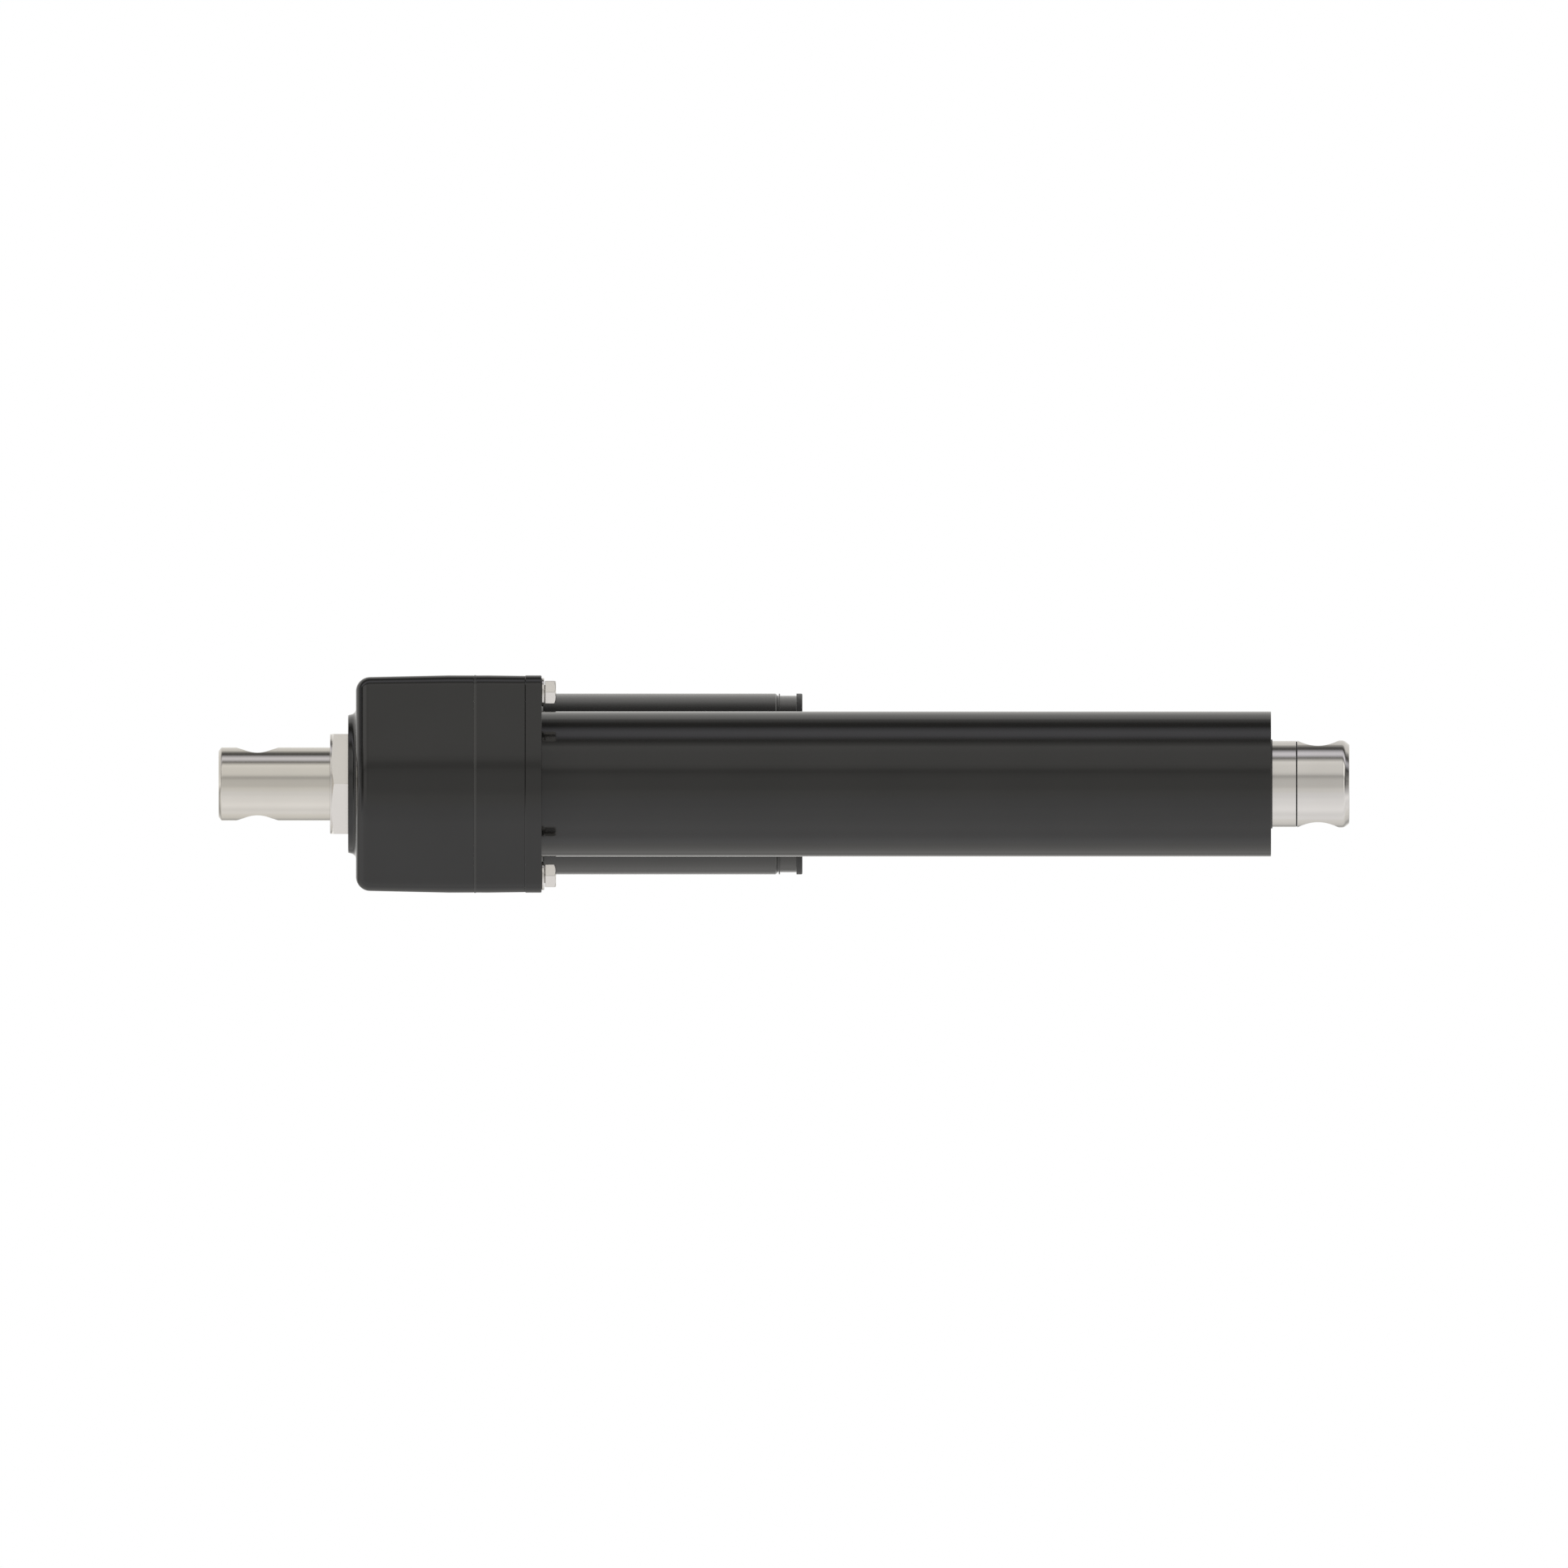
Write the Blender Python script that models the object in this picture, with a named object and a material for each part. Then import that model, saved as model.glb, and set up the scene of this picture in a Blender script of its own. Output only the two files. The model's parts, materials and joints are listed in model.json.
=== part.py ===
"""Electric linear actuator: a motor beside the screw, a two-stage spur gearbox and a telescoping rod.

X runs along the screw axis towards the rod end, Y from the screw towards the motor, and Z is up.
The origin is the centre of the rear eye's end face, on the screw axis. The rod is fully retracted.
Every length is in metres, written as millimetres times MM.
"""

import math

import bmesh
import bpy
from mathutils import Matrix, Vector

MM = 0.001
GAP = 0.3 * MM  # between pieces that rest on each other
INCH = 25.4 * MM

# Driving dimensions, along X
STROKE = 6 * INCH
EYE_BAR_END = 39.0 * MM
BOSS_FACE = 45.6 * MM
REAR_FACE = 48.05 * MM
PARTING = 89.7 * MM
PLATE_BACK = 107.6 * MM
PLATE_FRONT = 113.3 * MM
TUBE_END = 368.3 * MM
ROD_JOINT = 377.15 * MM
ROD_END = 395.7 * MM
MOTOR_CAN_END = 195.5 * MM
MOTOR_FLANGE_BACK = 202.2 * MM
MOTOR_END = 204.3 * MM
NUT_SPAN = (122 * MM, 164 * MM)
REAR_PIN_X = 13.6 * MM
ROD_PIN_X = 384.7 * MM

# Driving dimensions, across X
TUBE_R = 1.0 * INCH
TUBE_BORE_R = 22.2 * MM
ROD_R = 0.594 * INCH
ROD_BORE_R = 11.1 * MM
ROD_EYE_R = 15.28 * MM
REAR_EYE_R = 12.8 * MM
REAR_PIN_R = 6.6 * MM
ROD_PIN_R = 7.4 * MM
SHANK_R = 11.1 * MM
JAM_NUT_FLATS = 35.0 * MM
MOTOR_R = 31.65 * MM
MOTOR_BORE_R = 28.85 * MM

# Gear housing outline: the smallest loop round these circles, each (Y, Z, radius)
HALF_WIDTH = 38.05 * MM
BOLT_BOSS_R = 5.95 * MM
BOLT_Z = HALF_WIDTH - BOLT_BOSS_R
BOLT_ROWS_Y = (-21.7 * MM, 31.0 * MM, 88.0 * MM)
BOLT_PLACES = [(y, side * BOLT_Z) for y in BOLT_ROWS_Y for side in (1, -1)]
TAIL_R = 35.0 * MM

# Gear train: both stages lie in line between the screw and the motor
PRESSURE_ANGLE = math.radians(25)
GEAR_BACKLASH = 0.24 * MM
FINE_MODULE = 1.25 * MM
COARSE_MODULE = 1.75 * MM
MOTOR_PINION_TEETH = 10
CLUSTER_GEAR_TEETH = 32
CLUSTER_PINION_TEETH = 10
SCREW_GEAR_TEETH = 30
CLUSTER_Y = COARSE_MODULE * (CLUSTER_PINION_TEETH + SCREW_GEAR_TEETH) / 2
MOTOR_Y = CLUSTER_Y + FINE_MODULE * (MOTOR_PINION_TEETH + CLUSTER_GEAR_TEETH) / 2
COARSE_STAGE = (71.3 * MM, 82.8 * MM)
FINE_STAGE = (85.3 * MM, 91.8 * MM)

# Acme thread
LEAD = 0.25 * INCH
THREAD_MAJOR_R = 8.0 * MM
THREAD_ROOT_R = 6.4 * MM
THREAD_FLOOR = 1.38 * MM  # half the groove's width at its floor
THREAD_MOUTH = 1.79 * MM  # half the groove's width at its mouth
THREAD_START = 109.0 * MM  # centre of the first groove where it crosses the +Y side
THREAD_STEPS = 8
SCREW_TURNS = math.ceil((NUT_SPAN[1] + STROKE - THREAD_START) / LEAD)
NUT_FIRST_TURN = 3
NUT_TURNS = 3

HOUSING_OUTLINE = [
    (0.0, 0.0, HALF_WIDTH),
    *((y, z, BOLT_BOSS_R) for y, z in BOLT_PLACES),
    (MOTOR_Y, 0.0, TAIL_R),
]
CAVITY_OUTLINE = [(0.0, 0.0, 30.5 * MM), (MOTOR_Y, 0.0, 18.0 * MM)]
CAVITY_START = 54.0 * MM
CAVITY_END = 94.6 * MM
GASKET_HALF = 0.25 * MM
BOLT_HOLE_R = 2.8 * MM
BUSH_POCKET_R = 6.3 * MM
MOTOR_BEARING_POCKET_R = 11.3 * MM
TUBE_HOLE_R = TUBE_R + GAP

MATERIALS = {}
BODIES = {}


def material(name, colour, roughness, metallic):
    """Makes one Principled material and keeps it under its name."""
    made = bpy.data.materials.new(name)
    made.use_nodes = True
    shader = made.node_tree.nodes["Principled BSDF"]
    shader.inputs["Base Color"].default_value = (*colour, 1.0)
    shader.inputs["Roughness"].default_value = roughness
    shader.inputs["Metallic"].default_value = metallic
    made.diffuse_color = (*colour, 1.0)
    MATERIALS[name] = made


def make_materials():
    material("black_coat", (0.035, 0.034, 0.032), 0.45, 0.0)
    material("nickel_plate", (0.72, 0.70, 0.66), 0.28, 1.0)
    material("stainless", (0.70, 0.68, 0.65), 0.22, 1.0)
    material("gear_steel", (0.42, 0.42, 0.43), 0.35, 1.0)
    material("bearing_steel", (0.62, 0.63, 0.65), 0.2, 1.0)
    material("bronze", (0.62, 0.42, 0.20), 0.4, 1.0)
    material("copper", (0.70, 0.34, 0.18), 0.35, 1.0)
    material("ferrite", (0.10, 0.10, 0.11), 0.7, 0.0)
    material("carbon", (0.05, 0.05, 0.05), 0.6, 0.0)
    material("nylon", (0.75, 0.73, 0.66), 0.5, 0.0)
    material("rubber", (0.02, 0.02, 0.02), 0.7, 0.0)


def make_bodies():
    """One empty for each rigid body, on its joint's axis."""
    places = {"housing": 0.0, "rod": 0.0, "screw": 0.0, "cluster": CLUSTER_Y, "rotor": MOTOR_Y}
    for name, y in places.items():
        empty = bpy.data.objects.new(name + "_axis", None)
        empty.location = (0.0, y, 0.0)
        bpy.context.scene.collection.objects.link(empty)
        BODIES[name] = empty


def add_object(name, bm, material_name=None, body="housing", y=0.0, z=0.0):
    """Turns a bmesh into an object parented to its body; y and z move it from the body's axis."""
    bmesh.ops.recalc_face_normals(bm, faces=bm.faces)
    mesh = bpy.data.meshes.new(name)
    bm.to_mesh(mesh)
    bm.free()
    obj = bpy.data.objects.new(name, mesh)
    obj.parent = BODIES[body]
    obj.location = (0.0, y, z)
    bpy.context.scene.collection.objects.link(obj)
    mesh.shade_smooth()
    mesh.set_sharp_from_angle(angle=math.radians(35))
    if material_name:
        mesh.materials.append(MATERIALS[material_name])
    else:
        obj.hide_render = True
        obj.display_type = "WIRE"
    return obj


def boolean(obj, other, operation="DIFFERENCE"):
    modifier = obj.modifiers.new(operation.lower() + "_" + other.name, "BOOLEAN")
    modifier.operation = operation
    modifier.object = other


def spin_profile(bm, profile, steps, closed):
    """Turns a profile of (x, radius) points about the X axis."""
    verts = [bm.verts.new((x, 0.0, radius)) for x, radius in profile]
    edges = [bm.edges.new(pair) for pair in zip(verts, verts[1:])]
    if closed:
        edges.append(bm.edges.new((verts[-1], verts[0])))
    bmesh.ops.spin(
        bm, geom=verts + edges, cent=(0, 0, 0), axis=(1, 0, 0), angle=math.tau, steps=steps, use_merge=True
    )


def turned_solid(name, profile, material_name=None, body="housing", y=0.0, z=0.0, steps=24):
    """A round bar. The profile runs along its outside, and both ends are closed with flat faces."""
    bm = bmesh.new()
    spin_profile(bm, profile, steps, closed=False)
    bmesh.ops.holes_fill(bm, edges=[edge for edge in bm.edges if edge.is_boundary], sides=0)
    return add_object(name, bm, material_name, body, y, z)


def turned_ring(name, profile, material_name=None, body="housing", y=0.0, z=0.0, steps=24):
    """A round piece with a hole through it. The profile is a closed loop."""
    bm = bmesh.new()
    spin_profile(bm, profile, steps, closed=True)
    return add_object(name, bm, material_name, body, y, z)


def tube_profile(start, end, inner, outer, chamfer=0.0):
    """The closed profile of a plain sleeve, with its outer corners chamfered."""
    if chamfer == 0.0:
        return [(start, inner), (end, inner), (end, outer), (start, outer)]
    return [
        (start, inner),
        (end, inner),
        (end, outer - chamfer),
        (end - chamfer, outer),
        (start + chamfer, outer),
        (start, outer - chamfer),
    ]


def extrude_outline(bm, outline, start, end):
    """A prism along X whose section is a list of (y, z) points."""
    verts = [bm.verts.new((start, y, z)) for y, z in outline]
    face = bm.faces.new(verts)
    moved = bmesh.ops.extrude_face_region(bm, geom=[face])["geom"]
    new_verts = [item for item in moved if isinstance(item, bmesh.types.BMVert)]
    bmesh.ops.translate(bm, verts=new_verts, vec=(end - start, 0, 0))


def prism(name, outline, start, end, material_name=None, body="housing", y=0.0, z=0.0):
    bm = bmesh.new()
    extrude_outline(bm, outline, start, end)
    return add_object(name, bm, material_name, body, y, z)


def loft(name, rings, material_name=None):
    """A solid through a stack of loops of equal length."""
    bm = bmesh.new()
    loops = [[bm.verts.new(point) for point in ring] for ring in rings]
    for lower, upper in zip(loops, loops[1:]):
        for i in range(len(lower)):
            j = (i + 1) % len(lower)
            bm.faces.new((lower[i], lower[j], upper[j], upper[i]))
    bm.faces.new(loops[0])
    bm.faces.new(loops[-1])
    return add_object(name, bm, material_name)


def copies(name, bm, material_name, places):
    """One object at each (y, z), numbered from 1, all with the same mesh."""
    first = add_object(name + "_1", bm, material_name, "housing", *places[0])
    for number, (y, z) in enumerate(places[1:], start=2):
        other = bpy.data.objects.new(f"{name}_{number}", first.data)
        other.parent = first.parent
        other.location = (0.0, y, z)
        bpy.context.scene.collection.objects.link(other)
    return first


def holes_at(name, start, end, radius, places):
    """One cutter that holds a round bar at each (y, z)."""
    bm = bmesh.new()
    for y, z in places:
        outline = [(y + dy, z + dz) for dy, dz in circle(radius, 8)]
        extrude_outline(bm, outline, start, end)
    return add_object(name, bm)


def circle(radius, count, phase=0.0):
    """Points of a regular polygon, as (y, z)."""
    angles = [phase + math.tau * i / count for i in range(count)]
    return [(radius * math.cos(angle), radius * math.sin(angle)) for angle in angles]


def tangent_angles(circles):
    """The outward directions at which the loop round the circles passes from one to the next."""
    found = []
    for ay, az, ar in circles:
        for by, bz, br in circles:
            distance = math.hypot(by - ay, bz - az)
            if distance <= abs(br - ar):
                continue
            heading = math.atan2(bz - az, by - ay)
            swing = math.acos((ar - br) / distance)
            for angle in (heading + swing, heading - swing):
                outermost = all(support(angle, c) <= support(angle, (ay, az, ar)) + 1e-9 for c in circles)
                if outermost and all(abs(angle % math.tau - t) > 1e-4 for t in found):
                    found.append(angle % math.tau)
    return found


def support(angle, one_circle):
    """How far a circle reaches in a direction."""
    y, z, radius = one_circle
    return y * math.cos(angle) + z * math.sin(angle) + radius


def loop_round(circles, inset=0.0, steps=28):
    """The smallest convex loop round the circles, moved inwards by an inset, as (y, z) points."""
    step_angles = [math.tau * i / steps for i in range(steps)]
    tangents = tangent_angles(circles)
    far_steps = [a for a in step_angles if all(abs(a - t) > 0.03 for t in tangents)]
    points = []
    nudge = 1e-4  # to either side of a tangent, so that both ends of each straight run are there
    for angle in sorted(far_steps + [t + s for t in tangents for s in (-nudge, nudge)]):
        y, z, radius = max(circles, key=lambda c: support(angle, c))
        radius -= inset
        points.append((y + radius * math.cos(angle), z + radius * math.sin(angle)))
    return points


def outline_ring(x, inset):
    return [Vector((x, y, z)) for y, z in loop_round(HOUSING_OUTLINE, inset)]


def involute(angle):
    return math.tan(angle) - angle


def gear_outline(module, teeth, phase):
    """Involute spur gear section, as (y, z) points, with a tooth centred on the phase angle."""
    pitch_r = module * teeth / 2
    base_r = pitch_r * math.cos(PRESSURE_ANGLE)
    root_r = pitch_r - 1.25 * module
    tip_r = pitch_r + module
    flank_start = max(base_r, root_r)
    radii = [flank_start, pitch_r, tip_r]
    half_tooth = math.pi / (2 * teeth) - GEAR_BACKLASH / (4 * pitch_r) + involute(PRESSURE_ANGLE)
    flank = [(r, half_tooth - involute(math.acos(min(1.0, base_r / r)))) for r in radii]
    if root_r < base_r:
        flank[0] = (root_r, flank[0][1])
    points = []
    for tooth in range(teeth):
        centre = phase + math.tau * tooth / teeth
        for r, half in flank:
            points.append((r * math.cos(centre - half), r * math.sin(centre - half)))
        for r, half in reversed(flank):
            points.append((r * math.cos(centre + half), r * math.sin(centre + half)))
    return points


def threaded_bar(name, start, end, first_groove, turns, major, root, floor, mouth):
    """A bar with a right-hand helical groove whose depth fades out over the first and last turns."""
    bm = bmesh.new()
    steps = THREAD_STEPS
    last = turns - 1 / steps
    columns = []
    for step in range(steps):
        angle = math.tau * step / steps

        def point(x, radius):
            return bm.verts.new((x, radius * math.cos(angle), radius * math.sin(angle)))

        column = [point(start, major)]
        for turn in range(turns):
            travelled = turn + step / steps
            depth = (major - root) * max(0.0, min(1.0, 2 * travelled, 2 * (last - travelled)))
            centre = first_groove + LEAD * travelled
            column.append(point(centre - mouth, major))
            column.append(point(centre - floor, major - depth))
            column.append(point(centre + floor, major - depth))
            column.append(point(centre + mouth, major))
        column.append(point(end, major))
        columns.append(column)
    for left, right in zip(columns, columns[1:]):
        for i in range(len(left) - 1):
            bm.faces.new((left[i], left[i + 1], right[i + 1], right[i]))
    # Across the seam the groove has climbed one turn, which is four points of a column.
    left, right = columns[-1], columns[0]
    per_turn = 4
    bm.faces.new((left[0], left[1], *reversed(right[: per_turn + 2])))
    for i in range(1, len(left) - per_turn - 2):
        bm.faces.new((left[i], left[i + 1], right[i + 1 + per_turn], right[i + per_turn]))
    bm.faces.new((*left[-per_turn - 2 :], right[-1], right[-2]))
    bm.faces.new([column[0] for column in columns])
    bm.faces.new([column[-1] for column in columns])
    return add_object(name, bm)


def cross_hole(name, x, radius, bar_radius, chamfer):
    """A cutter for a vertical pin hole, flared by the chamfer where it meets the bar's outside."""
    reach = bar_radius + 2 * MM
    profile = [(-reach, radius), (reach, radius)]
    if chamfer:
        flare = radius + chamfer + 2 * MM
        neck = bar_radius - chamfer
        profile = [(-reach, flare), (-neck, radius), (neck, radius), (reach, flare)]
    steps = 24
    bm = bmesh.new()
    spin_profile(bm, profile, steps, closed=False)
    bmesh.ops.holes_fill(bm, edges=[edge for edge in bm.edges if edge.is_boundary], sides=0)
    # Half a step's turn keeps the cutter's edges off the bar's own.
    off_edges = Matrix.Rotation(math.pi / steps, 3, "X")
    upright = Matrix.Rotation(-math.pi / 2, 3, "Y")
    bmesh.ops.rotate(bm, verts=bm.verts, matrix=upright @ off_edges)
    bmesh.ops.translate(bm, verts=bm.verts, vec=(x, 0, 0))
    return add_object(name, bm)


def bolt_shape(start, head_start, head_end, shank_r, flats):
    """A bolt along X. Its hexagon is twelve points, six at corners and six halfway along the flats."""
    corner_r = flats / math.sqrt(3)
    chamfer = 0.5 * MM
    stations = [
        (start, shank_r, False),
        (head_start, shank_r, False),
        (head_start, corner_r, True),
        (head_end - chamfer, corner_r, True),
        (head_end, 0.93 * flats / 2, False),
    ]
    bm = bmesh.new()
    rings = []
    for x, radius, hexagonal in stations:
        ring = []
        for i in range(12):
            reach = radius * math.cos(math.pi / 6) if hexagonal and i % 2 else radius
            angle = math.tau * i / 12
            ring.append(bm.verts.new((x, reach * math.cos(angle), reach * math.sin(angle))))
        rings.append(ring)
    for lower, upper in zip(rings, rings[1:]):
        for i in range(12):
            bm.faces.new((lower[i], lower[i - 11], upper[i - 11], upper[i]))
    bm.faces.new(rings[0])
    bm.faces.new(rings[-1])
    return bm


# The rear mount


def make_rear_eye():
    chamfer = 0.9 * MM
    shank_end = 54.0 * MM
    eye = turned_solid(
        "rear_eye",
        [
            (0.0, REAR_EYE_R - chamfer),
            (chamfer, REAR_EYE_R),
            (EYE_BAR_END - GAP, REAR_EYE_R),
            (EYE_BAR_END - GAP, SHANK_R),
            (shank_end - chamfer, SHANK_R),
            (shank_end, SHANK_R - chamfer),
        ],
        "nickel_plate",
        steps=24,
    )
    boolean(eye, cross_hole("rear_pin_hole", REAR_PIN_X, REAR_PIN_R, REAR_EYE_R, 0.8 * MM))


def make_jam_nut():
    start, end = EYE_BAR_END, BOSS_FACE - GAP
    corner_r = JAM_NUT_FLATS / math.sqrt(3)
    clear_r = corner_r + 0.2 * MM
    face_r = 15.0 * MM  # the flat ring left on the nut's rear face
    chamfer_x = 1.4 * MM
    nut = prism("jam_nut", circle(corner_r, 6), start, end, "nickel_plate")
    cone = turned_solid(
        "nut_chamfer",
        [
            (start - chamfer_x, 2 * face_r - clear_r),
            (start + chamfer_x, clear_r),
            (end + MM, clear_r),
        ],
    )
    hole = turned_solid("nut_hole", [(start - MM, SHANK_R + GAP), (end + MM, SHANK_R + GAP)])
    boolean(nut, cone, "INTERSECT")
    boolean(nut, hole)


# The gear housing


def make_rear_cover():
    draft = 0.5 * MM
    corner = 5.1 * MM
    corner_steps = 2
    end = PARTING - GASKET_HALF - GAP / 2
    rings = []
    for i in range(corner_steps + 1):
        turn = math.pi / 2 * i / corner_steps
        rings.append(
            outline_ring(
                REAR_FACE + corner * (1 - math.cos(turn)), draft + corner * (1 - math.sin(turn))
            )
        )
    rings.append(outline_ring(80.5 * MM, 0.0))
    rings.append(outline_ring(end, 0.1 * MM))
    cover = loft("rear_cover", rings, "black_coat")
    boss = turned_solid(
        "rear_boss",
        [
            (BOSS_FACE, 23.9 * MM),
            (47.1 * MM, 24.5 * MM),
            (47.8 * MM, 25.4 * MM),
            (REAR_FACE + 0.2 * MM, 27.3 * MM),
            (50.0 * MM, 27.3 * MM),
        ],
        steps=32,
    )
    cavity = prism("cover_cavity", loop_round(CAVITY_OUTLINE), CAVITY_START, PARTING + MM)
    screw_hub = turned_solid("screw_hub", [(50 * MM, 21 * MM), (69.8 * MM, 21 * MM)])
    bush_hub = turned_solid("bush_hub", [(50 * MM, 9 * MM), (66.3 * MM, 9 * MM)], y=CLUSTER_Y)
    boolean(cavity, screw_hub)
    boolean(cavity, bush_hub)
    bearing_pocket = turned_solid(
        "rear_bearing_pocket",
        [
            (40 * MM, SHANK_R + GAP),
            (60.2 * MM, SHANK_R + GAP),
            (60.2 * MM, 16.3 * MM),
            (75 * MM, 16.3 * MM),
        ],
    )
    bush_pocket = turned_solid(
        "rear_bush_pocket", [(57 * MM, BUSH_POCKET_R), (75 * MM, BUSH_POCKET_R)], y=CLUSTER_Y
    )
    boolean(cover, boss, "UNION")
    boolean(cover, cavity)
    boolean(cover, bearing_pocket)
    boolean(cover, bush_pocket)
    boolean(cover, holes_at("cover_bolt_holes", 76.5 * MM, PARTING + MM, BOLT_HOLE_R, BOLT_PLACES))


def make_gasket():
    bead = 0.17 * MM
    gasket = prism(
        "housing_gasket",
        loop_round(HOUSING_OUTLINE, -bead),
        PARTING - GASKET_HALF,
        PARTING + GASKET_HALF,
        "rubber",
    )
    window = prism(
        "gasket_window", loop_round(CAVITY_OUTLINE, -0.3 * MM), PARTING - MM, PARTING + MM
    )
    boolean(gasket, window)
    boolean(gasket, holes_at("gasket_bolt_holes", PARTING - MM, PARTING + MM, 3.0 * MM, BOLT_PLACES))


def make_front_housing():
    start = PARTING + GASKET_HALF + GAP / 2
    end = PLATE_BACK - GAP / 2
    rings = [
        outline_ring(start, 0.1 * MM),
        outline_ring(94 * MM, 0.0),
        outline_ring(end, 0.17 * MM),
    ]
    housing = loft("front_housing", rings, "black_coat")
    floor = CAVITY_END
    cavity = prism("front_cavity", loop_round(CAVITY_OUTLINE), start - MM, floor)
    bearing_pocket = turned_solid(
        "front_bearing_pocket",
        [
            (floor - MM, 13.5 * MM),
            (95.4 * MM, 13.5 * MM),
            (95.4 * MM, 17.8 * MM),
            (104.0 * MM, 17.8 * MM),
            (104.0 * MM, TUBE_HOLE_R),
            (end + MM, TUBE_HOLE_R),
        ],
        steps=32,
    )
    bush_pocket = turned_solid(
        "front_bush_pocket",
        [(floor - MM, BUSH_POCKET_R), (104 * MM, BUSH_POCKET_R)],
        y=CLUSTER_Y,
    )
    shaft_hole = turned_solid(
        "shaft_hole",
        [
            (floor - MM, 7.8 * MM),
            (104.6 * MM, 7.8 * MM),
            (104.6 * MM, MOTOR_BEARING_POCKET_R),
            (end + MM, MOTOR_BEARING_POCKET_R),
        ],
        y=MOTOR_Y,
    )
    for cutter in (cavity, bearing_pocket, bush_pocket, shaft_hole):
        boolean(housing, cutter)
    boolean(housing, holes_at("front_bolt_holes", start - MM, end + MM, BOLT_HOLE_R, BOLT_PLACES))


def make_front_plate():
    start = PLATE_BACK + GAP / 2
    plate = prism("front_plate", loop_round(HOUSING_OUTLINE), start, PLATE_FRONT, "black_coat")
    pilot = turned_solid(
        "motor_pilot",
        [(PLATE_FRONT - 2 * MM, 28.3 * MM), (PLATE_FRONT + 2 * MM, 28.3 * MM)],
        y=MOTOR_Y,
        steps=24,
    )
    tube_hole = turned_solid(
        "plate_tube_hole",
        [
            (start - MM, TUBE_HOLE_R),
            (109.4 * MM, TUBE_HOLE_R),
            (109.4 * MM, 27.6 * MM),
            (111.6 * MM, 27.6 * MM),
            (111.6 * MM, TUBE_HOLE_R),
            (PLATE_FRONT + MM, TUBE_HOLE_R),
        ],
        steps=32,
    )
    shaft_hole = turned_solid(
        "plate_shaft_hole",
        [
            (start - MM, MOTOR_BEARING_POCKET_R),
            (112.2 * MM, MOTOR_BEARING_POCKET_R),
            (112.2 * MM, 7 * MM),
            (PLATE_FRONT + 3 * MM, 7 * MM),
        ],
        y=MOTOR_Y,
    )
    boolean(plate, pilot, "UNION")
    for cutter in (tube_hole, shaft_hole):
        boolean(plate, cutter)
    boolean(plate, holes_at("plate_bolt_holes", start - MM, PLATE_FRONT + MM, BOLT_HOLE_R, BOLT_PLACES))
    boolean(plate, through_bolt_holes("plate_motor_holes", 109.0 * MM, PLATE_FRONT + 3 * MM))


def make_housing_bolts():
    head_start, head_end = PLATE_FRONT + 1.3 * MM, PLATE_FRONT + 4.8 * MM
    washer_start, washer_end = PLATE_FRONT + 0.15 * MM, PLATE_FRONT + 1.15 * MM
    bolt = bolt_shape(78.0 * MM, head_start, head_end, 2.5 * MM, 8.0 * MM)
    copies("housing_bolt", bolt, "nickel_plate", BOLT_PLACES)
    washer = bmesh.new()
    spin_profile(washer, tube_profile(washer_start, washer_end, BOLT_HOLE_R, 5.0 * MM), 12, closed=True)
    copies("bolt_washer", washer, "nickel_plate", BOLT_PLACES)


# The tube and what guides the rod in it

SNAP_RING = (361.4 * MM, 362.7 * MM)


def make_tube():
    start = 106.1 * MM
    groove_start, groove_end = SNAP_RING[0] - 0.2 * MM, SNAP_RING[1] + 0.2 * MM
    groove_r = 23.4 * MM
    turned_ring(
        "cover_tube",
        [
            (start, TUBE_BORE_R),
            (groove_start, TUBE_BORE_R),
            (groove_start, groove_r),
            (groove_end, groove_r),
            (groove_end, TUBE_BORE_R),
            (TUBE_END, TUBE_BORE_R),
            (TUBE_END, TUBE_R - 0.15 * MM),
            (TUBE_END - 0.15 * MM, TUBE_R),
            (start, TUBE_R),
        ],
        "black_coat",
        steps=32,
    )
    turned_ring(
        "tube_o_ring", tube_profile(109.8 * MM, 111.2 * MM, TUBE_HOLE_R, 27.2 * MM), "rubber"
    )
    turned_ring(
        "bearing_retainer", tube_profile(104.3 * MM, 105.8 * MM, 13 * MM, 25.1 * MM), "gear_steel"
    )


def make_tube_guide():
    bore_r = ROD_R + GAP
    turned_ring(
        "guide_bush",
        tube_profile(334 * MM, 361 * MM, bore_r, TUBE_BORE_R - GAP, 0.5 * MM),
        "bronze",
        steps=24,
    )
    turned_ring(
        "wiper_seal",
        [
            (363.1 * MM, bore_r),
            (TUBE_END + 0.45 * MM, bore_r),
            (TUBE_END + 0.45 * MM, bore_r + 0.35 * MM),
            (TUBE_END - 0.6 * MM, bore_r + 1.2 * MM),
            (TUBE_END - 0.6 * MM, TUBE_BORE_R - GAP),
            (363.1 * MM, TUBE_BORE_R - GAP),
        ],
        "rubber",
        steps=24,
    )
    ring = turned_ring(
        "guide_snap_ring", tube_profile(*SNAP_RING, 20.4 * MM, 23.1 * MM), "gear_steel", steps=24
    )
    mouth = 3 * MM
    slot = prism(
        "snap_ring_slot",
        [(15 * MM, -mouth), (27 * MM, -mouth), (27 * MM, mouth), (15 * MM, mouth)],
        SNAP_RING[0] - MM,
        SNAP_RING[1] + MM,
    )
    boolean(ring, slot)


# The rod


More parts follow.
